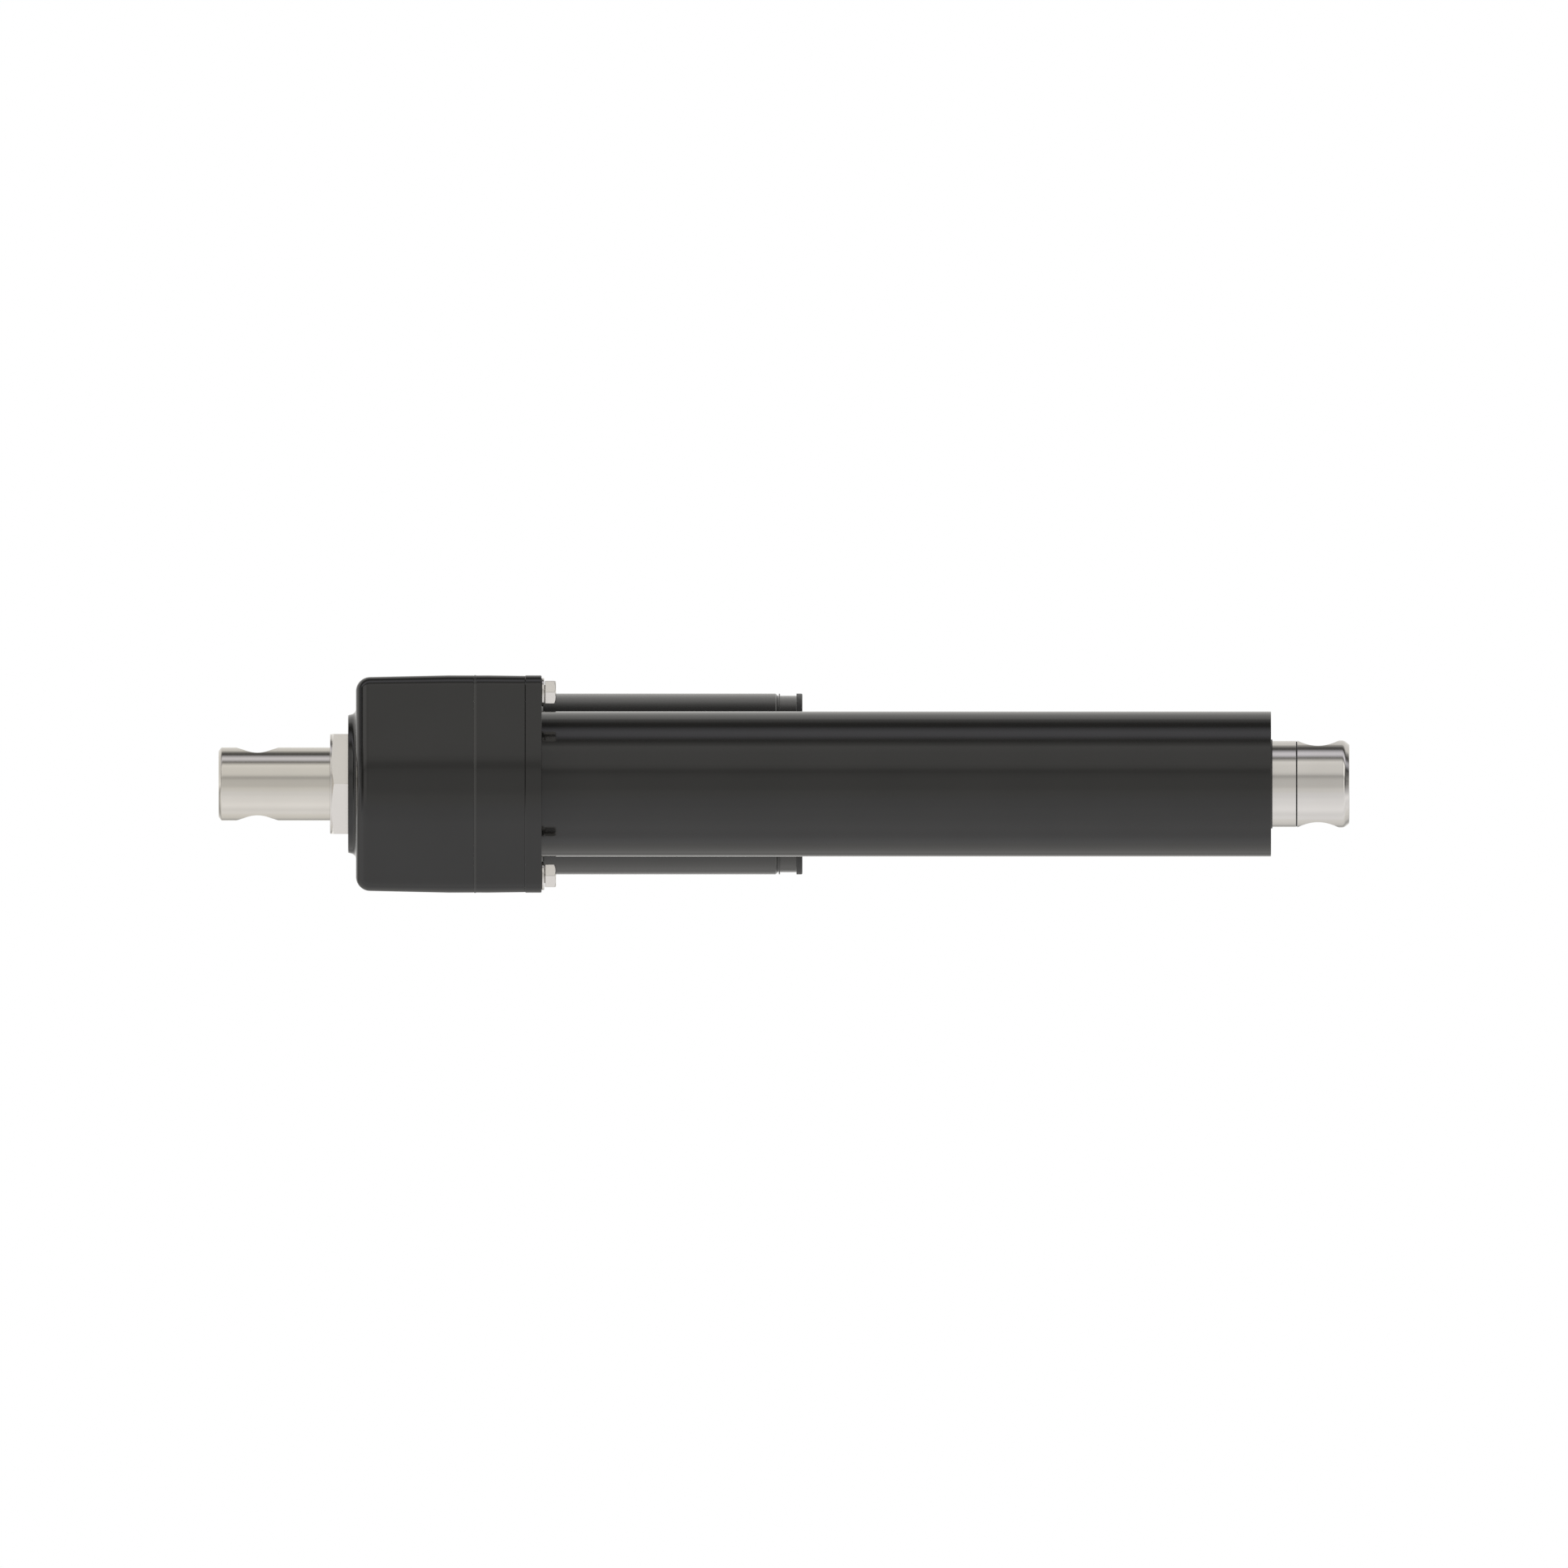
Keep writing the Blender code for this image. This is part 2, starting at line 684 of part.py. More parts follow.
def make_rod():
    turned_ring(
        "extension_tube",
        tube_profile(150 * MM, ROD_JOINT - GAP / 2, ROD_BORE_R, ROD_R, 0.2 * MM),
        "stainless",
        body="rod",
        steps=24,
    )
    corner = 2.0 * MM
    corner_steps = 3
    profile = [
        (352 * MM, ROD_BORE_R - GAP),
        (ROD_JOINT + GAP / 2, ROD_BORE_R - GAP),
        (ROD_JOINT + GAP / 2, ROD_EYE_R - 0.4 * MM),
        (ROD_JOINT + GAP / 2 + 0.4 * MM, ROD_EYE_R),
    ]
    for i in range(corner_steps + 1):
        turn = math.pi / 2 * i / corner_steps
        profile.append(
            (ROD_END - corner * (1 - math.sin(turn)), ROD_EYE_R - corner * (1 - math.cos(turn)))
        )
    eye = turned_solid("rod_eye", profile, "stainless", body="rod", steps=24)
    boolean(eye, cross_hole("rod_pin_hole", ROD_PIN_X, ROD_PIN_R, ROD_EYE_R, 0.0))


def make_nut():
    start, end = NUT_SPAN
    groove_start, groove_end = 125 * MM, 131 * MM
    guide_r = 21.6 * MM
    nut = turned_solid(
        "drive_nut",
        [
            (start, guide_r),
            (groove_start, guide_r),
            (groove_start, 19.9 * MM),
            (groove_end, 19.9 * MM),
            (groove_end, guide_r),
            (134 * MM, guide_r),
            (134 * MM, ROD_R),
            (150 * MM - GAP, ROD_R),
            (150 * MM - GAP, ROD_BORE_R - GAP),
            (end, ROD_BORE_R - GAP),
        ],
        "bronze",
        body="rod",
        steps=24,
    )
    thread = threaded_bar(
        "nut_thread",
        start - MM,
        end + MM,
        THREAD_START + LEAD * NUT_FIRST_TURN,
        NUT_TURNS,
        THREAD_MAJOR_R + 0.85 * MM,
        THREAD_ROOT_R + 0.75 * MM,
        THREAD_FLOOR - 0.25 * MM,
        THREAD_MOUTH - 0.24 * MM,
    )
    # The bar's grooves leave ridges standing in the nut's bore, which run in the screw's grooves.
    boolean(nut, thread)
    turned_ring(
        "nut_guide_ring",
        tube_profile(groove_start + GAP, groove_end - GAP, 20.2 * MM, 22.0 * MM),
        "nylon",
        body="rod",
        steps=24,
    )


# The screw


def make_screw():
    thread_end = THREAD_START + LEAD * SCREW_TURNS + 2 * MM
    screw = turned_solid(
        "acme_screw",
        [
            (54.6 * MM, 6.0 * MM),
            (60.2 * MM, 6.0 * MM),
            (60.2 * MM, 7.4 * MM),
            (70.0 * MM, 7.4 * MM),
            (70.0 * MM, 9.2 * MM),
            (83.2 * MM, 9.2 * MM),
            (83.2 * MM, 11.5 * MM),
            (86.0 * MM, 11.5 * MM),
            (86.0 * MM, 8.4 * MM),
            (106.5 * MM, 8.4 * MM),
        ],
        "gear_steel",
        body="screw",
    )
    thread = threaded_bar(
        "screw_thread",
        106.0 * MM,
        thread_end,
        THREAD_START,
        SCREW_TURNS,
        THREAD_MAJOR_R,
        THREAD_ROOT_R,
        THREAD_FLOOR,
        THREAD_MOUTH,
    )
    boolean(screw, thread, "UNION")
    boolean(screw, prism("stop_bolt_hole", circle(3.3 * MM, 12), 305 * MM, thread_end + MM))
    flange_start = thread_end + GAP
    flange_end = flange_start + 3 * MM
    end_stop = turned_solid(
        "screw_end_stop",
        [
            (307 * MM, 3 * MM),
            (flange_start, 3 * MM),
            (flange_start, 10.3 * MM),
            (flange_end, 10.3 * MM),
        ],
        "nickel_plate",
        body="screw",
        steps=24,
    )
    head = prism("end_stop_head", circle(5.77 * MM, 6), flange_start + MM, flange_end + 4 * MM)
    boolean(end_stop, head, "UNION")
    lock_nut = prism(
        "screw_lock_nut", circle(10.9 * MM, 6), 55.4 * MM, 59.9 * MM, "nickel_plate", body="screw"
    )
    boolean(lock_nut, prism("lock_nut_hole", circle(6.35 * MM, 24), 54 * MM, 61 * MM))


# Gears


def gear(name, module, teeth, phase, span, bore_r, body, web=None):
    """A spur gear. A web is (inner radius, outer radius, depth) of a recess in its front face."""
    start, end = span
    made = prism(name, gear_outline(module, teeth, phase), start, end, "gear_steel", body=body)
    bore = turned_solid(name + "_bore", [(start - MM, bore_r), (end + MM, bore_r)], body=body)
    boolean(made, bore)
    if web:
        inner, outer, depth = web
        recess = turned_ring(name + "_web", tube_profile(end - depth, end + MM, inner, outer), body=body)
        boolean(made, recess)


def make_gears():
    gear(
        "screw_gear",
        COARSE_MODULE,
        SCREW_GEAR_TEETH,
        0.0,
        COARSE_STAGE,
        9.5 * MM,
        "screw",
        web=(13 * MM, 22 * MM, 4 * MM),
    )
    gear(
        "cluster_gear",
        FINE_MODULE,
        CLUSTER_GEAR_TEETH,
        0.0,
        FINE_STAGE,
        4.2 * MM,
        "cluster",
        web=(8 * MM, 16 * MM, 2.5 * MM),
    )
    gear(
        "motor_pinion",
        FINE_MODULE,
        MOTOR_PINION_TEETH,
        math.pi / MOTOR_PINION_TEETH,
        (FINE_STAGE[0] - MM, FINE_STAGE[1] + MM),
        3.3 * MM,
        "rotor",
    )


def make_cluster_shaft():
    pinion_shaft = turned_solid(
        "cluster_pinion_shaft",
        [(58.0 * MM, 3.9 * MM), (102.9 * MM, 3.9 * MM)],
        "gear_steel",
        body="cluster",
        steps=20,
    )
    pinion = prism(
        "cluster_pinion",
        gear_outline(COARSE_MODULE, CLUSTER_PINION_TEETH, math.pi / CLUSTER_PINION_TEETH),
        COARSE_STAGE[0] - MM,
        COARSE_STAGE[1] + MM,
        body="cluster",
    )
    boolean(pinion_shaft, pinion, "UNION")
    for name, start, end in (("rear", 57.3, 66.0), ("front", 94.9, 103.6)):
        turned_ring(
            "cluster_bush_" + name,
            tube_profile(start * MM, end * MM, 4.2 * MM, 6.0 * MM),
            "bronze",
            y=CLUSTER_Y,
            steps=20,
        )


# Bearings


def bearing(name, start, end, bore_r, outer_r, inner_body, y):
    """A sealed ball bearing: an outer ring with its shields, fixed, and an inner ring that turns."""
    ring = 0.28 * (outer_r - bore_r)
    shield = 0.6 * MM
    lip_r = bore_r + ring + GAP
    turned_ring(
        name + "_outer_ring",
        [
            (start, lip_r),
            (start + shield, lip_r),
            (start + shield, outer_r - ring),
            (end - shield, outer_r - ring),
            (end - shield, lip_r),
            (end, lip_r),
            (end, outer_r),
            (start, outer_r),
        ],
        "bearing_steel",
        y=y,
        steps=20,
    )
    turned_ring(
        name + "_inner_ring",
        tube_profile(start, end, bore_r, bore_r + ring),
        "bearing_steel",
        body=inner_body,
        steps=20,
    )


def make_bearings():
    bearing("screw_rear_bearing", 60.5 * MM, 69.5 * MM, 7.7 * MM, 16.0 * MM, "screw", 0.0)
    bearing("screw_front_bearing", 95.7 * MM, 103.7 * MM, 8.7 * MM, 17.5 * MM, "screw", 0.0)
    bearing("motor_front_bearing", 104.9 * MM, 111.9 * MM, 4.2 * MM, 11.0 * MM, "rotor", MOTOR_Y)
    turned_ring(
        "motor_rear_bush",
        tube_profile(196.4 * MM, 201.4 * MM, 4.2 * MM, 9.5 * MM),
        "bronze",
        y=MOTOR_Y,
        steps=20,
    )


# The motor

THROUGH_BOLT_R = 26.4 * MM
THROUGH_BOLT_PLACES = [(MOTOR_Y + THROUGH_BOLT_R, 0.0), (MOTOR_Y - THROUGH_BOLT_R, 0.0)]
BRUSH_BOX = (187.4 * MM, 194.4 * MM)
LEAD_Y = MOTOR_Y + 17 * MM


def through_bolt_holes(name, start, end):
    return holes_at(name, start, end, 2.3 * MM, THROUGH_BOLT_PLACES)


def make_motor_case():
    chamfer = 0.7 * MM
    can_start = PLATE_FRONT + GAP
    seat = MOTOR_CAN_END + GAP  # the groove that the sealing ring lies in
    seat_r = 29.6 * MM
    neck_r = MOTOR_R - 0.65 * MM
    spigot_r = MOTOR_BORE_R - 0.35 * MM
    turned_ring(
        "motor_can",
        [
            (can_start, MOTOR_BORE_R),
            (MOTOR_CAN_END, MOTOR_BORE_R),
            (MOTOR_CAN_END, MOTOR_R - chamfer),
            (MOTOR_CAN_END - chamfer, MOTOR_R),
            (can_start, MOTOR_R),
        ],
        "black_coat",
        y=MOTOR_Y,
        steps=32,
    )
    turned_ring(
        "motor_seal_ring",
        tube_profile(seat + 0.2 * MM, seat + 0.7 * MM, seat_r + GAP, MOTOR_R),
        "rubber",
        y=MOTOR_Y,
        steps=32,
    )
    cap = turned_ring(
        "motor_end_cap",
        [
            (189 * MM, 25.5 * MM),
            (195.3 * MM, 25.5 * MM),
            (195.3 * MM, 12 * MM),
            (196.1 * MM, 12 * MM),
            (196.1 * MM, 9.8 * MM),
            (202 * MM, 9.8 * MM),
            (202 * MM, 5 * MM),
            (MOTOR_END, 5 * MM),
            (MOTOR_END, MOTOR_R),
            (MOTOR_FLANGE_BACK, MOTOR_R),
            (MOTOR_FLANGE_BACK, neck_r),
            (seat + MM, neck_r),
            (seat + MM, seat_r),
            (seat, seat_r),
            (seat, spigot_r),
            (189 * MM, spigot_r),
        ],
        "black_coat",
        y=MOTOR_Y,
        steps=32,
    )
    boolean(cap, through_bolt_holes("cap_bolt_holes", 188 * MM, MOTOR_END + MM))
    lead_hole = prism("lead_hole", circle(3.0 * MM, 12), 190 * MM, MOTOR_END + MM, y=LEAD_Y)
    boolean(cap, lead_hole)


def make_lead_grommet():
    """The rubber bush in the end cap that the motor's two leads come out of."""
    face = MOTOR_END + GAP
    turned_ring(
        "lead_grommet",
        [
            (196 * MM, 1.4 * MM),
            (face + 2.6 * MM, 1.4 * MM),
            (face + 2.6 * MM, 2.2 * MM),
            (face + MM, 3.6 * MM),
            (face, 3.6 * MM),
            (face, 2.7 * MM),
            (196 * MM, 2.7 * MM),
        ],
        "rubber",
        y=LEAD_Y,
        steps=16,
    )


def make_magnets():
    """Two ferrite arcs, above and below the armature."""
    inner, outer = 24.4 * MM, 28.5 * MM
    half_angle = math.radians(58)
    steps = 10
    for name, middle in (("upper_magnet", math.pi / 2), ("lower_magnet", -math.pi / 2)):
        angles = [middle - half_angle + 2 * half_angle * i / steps for i in range(steps + 1)]
        outline = [(outer * math.cos(a), outer * math.sin(a)) for a in angles]
        outline += [(inner * math.cos(a), inner * math.sin(a)) for a in reversed(angles)]
        prism(name, outline, 126 * MM, 178 * MM, "ferrite", y=MOTOR_Y)


def make_through_bolts():
    head_start = MOTOR_END + GAP
    bolt = bolt_shape(109.6 * MM, head_start, head_start + 2.8 * MM, 2.0 * MM, 7.0 * MM)
    copies("motor_through_bolt", bolt, "nickel_plate", THROUGH_BOLT_PLACES)


def box_outline(y_low, y_high, half_z):
    return [(y_low, -half_z), (y_high, -half_z), (y_high, half_z), (y_low, half_z)]


def make_brushes():
    """Two carbon brushes in brass boxes, on the far and near sides of the commutator."""
    start, end = BRUSH_BOX
    half, wall = 3.6 * MM, 0.9 * MM
    hole, brush_half = half - wall, half - wall - GAP
    for side, turn in (("far", 0.0), ("near", math.pi)):
        pieces = (
            prism(side + "_brush_box", box_outline(12.5 * MM, 22 * MM, half), start, end, "bronze"),
            prism(
                side + "_brush_window", box_outline(12 * MM, 22.5 * MM, hole), start + wall, end - wall
            ),
            prism(
                side + "_brush",
                box_outline(10.9 * MM, 19.5 * MM, brush_half),
                start + wall + GAP,
                end - wall - GAP,
                "carbon",
            ),
        )
        for piece in pieces:
            piece.location = (0.0, MOTOR_Y, 0.0)
            piece.rotation_euler = (turn, 0.0, 0.0)
        boolean(pieces[0], pieces[1])


ARMATURE_R = 23.7 * MM
ARMATURE_SLOTS = 12
SLOT_FLOOR_R = 16.7 * MM
CORE_SPAN = (128 * MM, 174 * MM)


def armature_outline():
    """A stack of laminations: round teeth with a slot between each pair."""
    half_slot = 0.16 * math.tau / ARMATURE_SLOTS
    half_mouth = 0.08 * math.tau / ARMATURE_SLOTS
    shoulder = ARMATURE_R - 1.6 * MM
    points = []
    for slot in range(ARMATURE_SLOTS):
        for radius, angle in (
            (ARMATURE_R, -half_mouth),
            (shoulder, -half_slot),
            (SLOT_FLOOR_R, -half_slot),
            (SLOT_FLOOR_R, half_slot),
            (shoulder, half_slot),
            (ARMATURE_R, half_mouth),
            (ARMATURE_R, math.pi / ARMATURE_SLOTS),
        ):
            turn = math.tau * slot / ARMATURE_SLOTS + angle
            points.append((radius * math.cos(turn), radius * math.sin(turn)))
    return points


def make_windings():
    """Copper bars in the core's slots, joined at both ends by the bulge of the end turns."""
    near, far = CORE_SPAN[0] - GAP, CORE_SPAN[1] + GAP
    bulge = 10 * MM
    rounding = 4 * MM
    windings = turned_ring(
        "armature_windings",
        [
            (near - bulge, 7 * MM),
            (near, 7 * MM),
            (near, 21 * MM),
            (near - bulge + rounding, 21 * MM),
            (near - bulge, 16 * MM),
        ],
        "copper",
        body="rotor",
        steps=24,
    )
    far_turns = turned_ring(
        "far_end_turns",
        [
            (far, 7 * MM),
            (far + bulge, 7 * MM),
            (far + bulge, 16 * MM),
            (far + bulge - rounding, 21 * MM),
            (far, 21 * MM),
        ],
        body="rotor",
        steps=24,
    )
    bm = bmesh.new()
    for slot in range(ARMATURE_SLOTS):
        turn = Matrix.Rotation(math.tau * slot / ARMATURE_SLOTS, 2)
        corners = [(17.0 * MM, -1.0 * MM), (20.8 * MM, -1.3 * MM), (20.8 * MM, 1.3 * MM), (17.0 * MM, MM)]
        outline = [tuple(turn @ Vector(corner)) for corner in corners]
        extrude_outline(bm, outline, near - MM, far + MM)
    bars = add_object("slot_bars", bm, body="rotor")
    boolean(windings, bars, "UNION")
    boolean(windings, far_turns, "UNION")


def make_rotor():
    turned_solid(
        "motor_shaft",
        [
            (FINE_STAGE[0] - 1.3 * MM, 3.0 * MM),
            (FINE_STAGE[1] + 1.3 * MM, 3.0 * MM),
            (FINE_STAGE[1] + 1.3 * MM, 3.9 * MM),
            (201.6 * MM, 3.9 * MM),
        ],
        "gear_steel",
        body="rotor",
        steps=20,
    )
    core = prism("armature_core", armature_outline(), *CORE_SPAN, "gear_steel", body="rotor")
    bore = turned_solid("core_bore", [(127 * MM, 4.2 * MM), (175 * MM, 4.2 * MM)], body="rotor", steps=20)
    boolean(core, bore)
    turned_ring(
        "commutator",
        tube_profile(186.2 * MM, 195.0 * MM, 4.2 * MM, 10.5 * MM),
        "copper",
        body="rotor",
        steps=24,
    )


def main():
    for obj in list(bpy.data.objects):
        bpy.data.objects.remove(obj)
    make_materials()
    make_bodies()
    make_rear_eye()
    make_jam_nut()
    make_rear_cover()
    make_gasket()
    make_front_housing()
    make_front_plate()
    make_housing_bolts()
    make_tube()
    make_tube_guide()
    make_rod()
    make_nut()
    make_screw()
    make_gears()
    make_cluster_shaft()
    make_bearings()
    make_motor_case()
    make_lead_grommet()
    make_magnets()
    make_through_bolts()
    make_brushes()
    make_windings()
    make_rotor()


main()
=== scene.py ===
"""Looks of the electric linear actuator: fine outer shells, materials and the studio."""

import json
import math

import bmesh
import bpy
from mathutils import Matrix, Vector


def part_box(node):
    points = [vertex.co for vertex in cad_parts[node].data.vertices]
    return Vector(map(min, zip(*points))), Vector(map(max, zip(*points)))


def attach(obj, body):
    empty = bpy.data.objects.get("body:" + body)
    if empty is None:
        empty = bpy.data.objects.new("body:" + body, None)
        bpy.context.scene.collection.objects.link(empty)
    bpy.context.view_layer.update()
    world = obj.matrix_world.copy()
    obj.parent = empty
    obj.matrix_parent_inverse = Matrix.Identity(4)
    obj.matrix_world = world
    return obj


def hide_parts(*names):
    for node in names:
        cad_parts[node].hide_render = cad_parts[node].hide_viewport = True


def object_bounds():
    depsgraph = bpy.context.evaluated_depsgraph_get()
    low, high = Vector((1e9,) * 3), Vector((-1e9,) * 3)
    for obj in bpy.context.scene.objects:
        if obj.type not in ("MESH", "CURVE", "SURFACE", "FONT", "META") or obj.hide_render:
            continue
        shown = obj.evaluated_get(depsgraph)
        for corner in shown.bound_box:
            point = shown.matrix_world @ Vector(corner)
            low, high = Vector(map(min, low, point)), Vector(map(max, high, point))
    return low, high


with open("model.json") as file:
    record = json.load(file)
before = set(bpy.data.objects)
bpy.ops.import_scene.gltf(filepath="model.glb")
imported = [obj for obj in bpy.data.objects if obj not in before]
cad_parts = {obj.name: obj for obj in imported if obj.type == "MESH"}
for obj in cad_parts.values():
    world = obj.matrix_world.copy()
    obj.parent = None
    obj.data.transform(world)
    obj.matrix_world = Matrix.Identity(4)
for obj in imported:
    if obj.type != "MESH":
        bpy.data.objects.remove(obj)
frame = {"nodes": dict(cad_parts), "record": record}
cad_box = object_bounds()

MM = 0.001
ROUND_STEPS = 192  # round a turned piece
HOLE_STEPS = 32  # round a bolt hole
TOUCH = 0.0005 * MM  # between fine shells that meet
JOINT_EDGE = 0.12 * MM  # the broken edges on both sides of the housing's gasket
PLATE_BACK = 107.2 * MM  # where the front plate meets the housing
PLATE_FACE = 113.05 * MM  # the front plate's front face, which the bolt washers lie on
REAR_PIN = (13.6 * MM, 6.6 * MM)  # the rear eye's pin hole, as (x, radius)
ROD_PIN = (384.7 * MM, 7.4 * MM)
CLUSTER_Y = 35 * MM

# Radii of the hollows, as in the CAD model
SHANK_HOLE_R = 11.4 * MM  # round the rear eye's shank
BUSH_POCKET_R = 6.3 * MM
MOTOR_BEARING_POCKET_R = 11.3 * MM
BOLT_HOLE_R = 2.8 * MM
THROUGH_HOLE_R = 2.3 * MM
TUBE_BORE_R = 22.2 * MM
ROD_BORE_R = 11.1 * MM

# Places read from the frame, in metres
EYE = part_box("rear_eye")
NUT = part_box("jam_nut")
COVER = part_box("rear_cover")
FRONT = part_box("front_housing")
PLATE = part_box("front_plate")
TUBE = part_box("cover_tube")
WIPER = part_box("wiper_seal")
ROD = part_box("extension_tube")
ROD_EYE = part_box("rod_eye")
ROD_EYE_FACE = ROD[1].x + 0.05 * MM  # where the rod's tube meets its eye
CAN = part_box("motor_can")
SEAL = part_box("motor_seal_ring")
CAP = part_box("motor_end_cap")
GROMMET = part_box("lead_grommet")
TUBE_HOLE_R = TUBE[1].z + 0.3 * MM

# Gear housing outline: the smallest loop round these circles, each (Y, Z, radius)
HALF_WIDTH = COVER[1].z
BOLT_BOSS_R = 5.95 * MM
MOTOR_Y = (CAN[0].y + CAN[1].y) / 2
MOTOR_R = CAN[1].z
TAIL_R = COVER[1].y - MOTOR_Y


def axes_of(kind, count):
    """The (y, z) axes of the numbered CAD nodes of a kind."""
    boxes = [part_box(f"{kind}_{number}") for number in range(1, count + 1)]
    return [((low.y + high.y) / 2, (low.z + high.z) / 2) for low, high in boxes]


BOLT_PLACES = axes_of("bolt_washer", 6)
THROUGH_PLACES = axes_of("motor_through_bolt", 2)
HOUSING_OUTLINE = [
    (0.0, 0.0, HALF_WIDTH),
    *((y, z, BOLT_BOSS_R) for y, z in BOLT_PLACES),
    (MOTOR_Y, 0.0, TAIL_R),
]
CAVITY_OUTLINE = [(0.0, 0.0, 30.5 * MM), (MOTOR_Y, 0.0, 18.0 * MM)]


# Meshes


def new_object(name, bm, material, body, replaced=(), sharp=30.0):
    """A piece that rides on a body and stands for CAD nodes. With no material it's a bare mesh."""
    bmesh.ops.remove_doubles(bm, verts=bm.verts, dist=1e-7)
    bmesh.ops.recalc_face_normals(bm, faces=bm.faces)
    mesh = bpy.data.meshes.new(name)
    bm.to_mesh(mesh)
    bm.free()
    obj = bpy.data.objects.new(name, mesh)
    bpy.context.scene.collection.objects.link(obj)
    if material is None:
        return obj
    mesh.shade_smooth()
    mesh.set_sharp_from_angle(angle=math.radians(sharp))
    mesh.materials.append(material)
    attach(obj, body)
    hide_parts(*replaced)
    return obj


def soften(obj, width):
    """Rounds off an object's sharp edges."""
    bevel = obj.modifiers.new("broken_edges", "BEVEL")
    bevel.width = width
    bevel.segments = 3
    bevel.limit_method = "ANGLE"
    bevel.angle_limit = math.radians(25)
    return even_normals(obj)


def even_normals(obj):
    """Large flat faces keep their own normal next to a rounded edge."""
    modifier = obj.modifiers.new("even_normals", "WEIGHTED_NORMAL")
    modifier.keep_sharp = True
    modifier.weight = 100
    return obj


def cut(obj, *cutters, operation="DIFFERENCE", sharp=30.0):
    """Applies a Boolean for each cutter, then removes the cutters."""
    for tool in cutters:
        modifier = obj.modifiers.new("cut", "BOOLEAN")
        modifier.operation = operation
        modifier.object = tool
        modifier.solver = "EXACT"
    bpy.context.view_layer.update()
    graph = bpy.context.evaluated_depsgraph_get()
    made = bpy.data.meshes.new_from_object(obj.evaluated_get(graph))
    obj.modifiers.clear()
    name = obj.data.name
    obj.data = made
    made.name = name
    made.shade_smooth()
    made.set_sharp_from_angle(angle=math.radians(sharp))
    for tool in cutters:
        bpy.data.objects.remove(tool)
    return obj


def rounded(corners, closed=True, steps=6):
    """The corners (x, radius, fillet) of a profile as points, each fillet an arc."""
    points = []
    count = len(corners)
    for i, (x, r, fillet) in enumerate(corners):
        here = Vector((x, r))
        ends = not closed and i in (0, count - 1)
        if fillet == 0 or ends:
            points.append((x, r))
            continue
        before = (Vector(corners[i - 1][:2]) - here).normalized()
        after = (Vector(corners[(i + 1) % count][:2]) - here).normalized()
        half = before.angle(after) / 2
        centre = here + (before + after).normalized() * (fillet / math.sin(half))
        start = here + before * (fillet / math.tan(half))
        end = here + after * (fillet / math.tan(half))
        first, last = start - centre, end - centre
        swing = math.pi - 2 * half
        sense = 1 if first.x * last.y - first.y * last.x > 0 else -1
        for step in range(steps + 1):
            turned = Matrix.Rotation(sense * swing * step / steps, 2) @ first
            points.append(tuple(centre + turned))
    return points


def revolve(points, closed=True, steps=ROUND_STEPS, y=0.0):
    """A bmesh of the points (x, radius) turned about the X axis. A point on the axis is one vertex."""
    bm = bmesh.new()
    columns = []
    for x, radius in points:
        if radius < 1e-7:
            columns.append([bm.verts.new((x, y, 0.0))] * steps)
            continue
        ring = []
        for i in range(steps):
            angle = math.tau * i / steps
            ring.append(bm.verts.new((x, y + radius * math.cos(angle), radius * math.sin(angle))))
        columns.append(ring)
    pairs = list(zip(columns, columns[1:]))
    if closed:
        pairs.append((columns[-1], columns[0]))
    for left, right in pairs:
        for i in range(steps):
            j = (i + 1) % steps
            corners = []
            for vert in (left[i], left[j], right[j], right[i]):
                if vert not in corners:
                    corners.append(vert)
            if len(corners) > 2:
                bm.faces.new(corners)
    return bm


def support(angle, one_circle):
    """How far a circle reaches in a direction."""
    y, z, radius = one_circle
    return y * math.cos(angle) + z * math.sin(angle) + radius


def tangent_angles(circles):
    """The outward directions at which the loop round the circles passes from one to the next."""
    found = []
    for ay, az, ar in circles:
        for by, bz, br in circles:
            distance = math.hypot(by - ay, bz - az)
            if distance <= abs(br - ar):
                continue
            heading = math.atan2(bz - az, by - ay)
            swing = math.acos((ar - br) / distance)
            for angle in (heading + swing, heading - swing):
                reach = support(angle, (ay, az, ar))
                outermost = all(support(angle, c) <= reach + 1e-9 for c in circles)
                if outermost and all(abs(angle % math.tau - t) > 1e-4 for t in found):
                    found.append(angle % math.tau)
    return found


def loop_round(circles, inset=0.0, steps=240):
    """The smallest convex loop round the circles, moved inwards by an inset, as (y, z) points."""
    tangents = tangent_angles(circles)
    step_angles = [math.tau * i / steps for i in range(steps)]
    clear, nudge = 0.008, 1e-4  # each tangent gets a point just before and just after it
    angles = [a for a in step_angles if all(abs(a - t) > clear for t in tangents)]
    angles += [t + side for t in tangents for side in (-nudge, nudge)]
    points = []
    for angle in sorted(angles):
        y, z, radius = max(circles, key=lambda c: support(angle, c))
        radius -= inset
        points.append((y + radius * math.cos(angle), z + radius * math.sin(angle)))
    return points


def loft(rings):
    """A bmesh through loops of equal length, closed with flat ends."""
    bm = bmesh.new()
    loops = [[bm.verts.new(point) for point in ring] for ring in rings]
    for lower, upper in zip(loops, loops[1:]):
        for i in range(len(lower)):
            j = (i + 1) % len(lower)
            bm.faces.new((lower[i], lower[j], upper[j], upper[i]))
    bm.faces.new(loops[0])
    bm.faces.new(loops[-1])
    return bm


def outline_rings(profile):
    """Loops of the housing outline at (x, inset) places."""
    return [[(x, y, z) for y, z in loop_round(HOUSING_OUTLINE, inset)] for x, inset in profile]


def prism(outline, start, end):
    """A (y, z) outline drawn out along X."""
    return loft([[(x, y, z) for y, z in outline] for x in (start, end)])


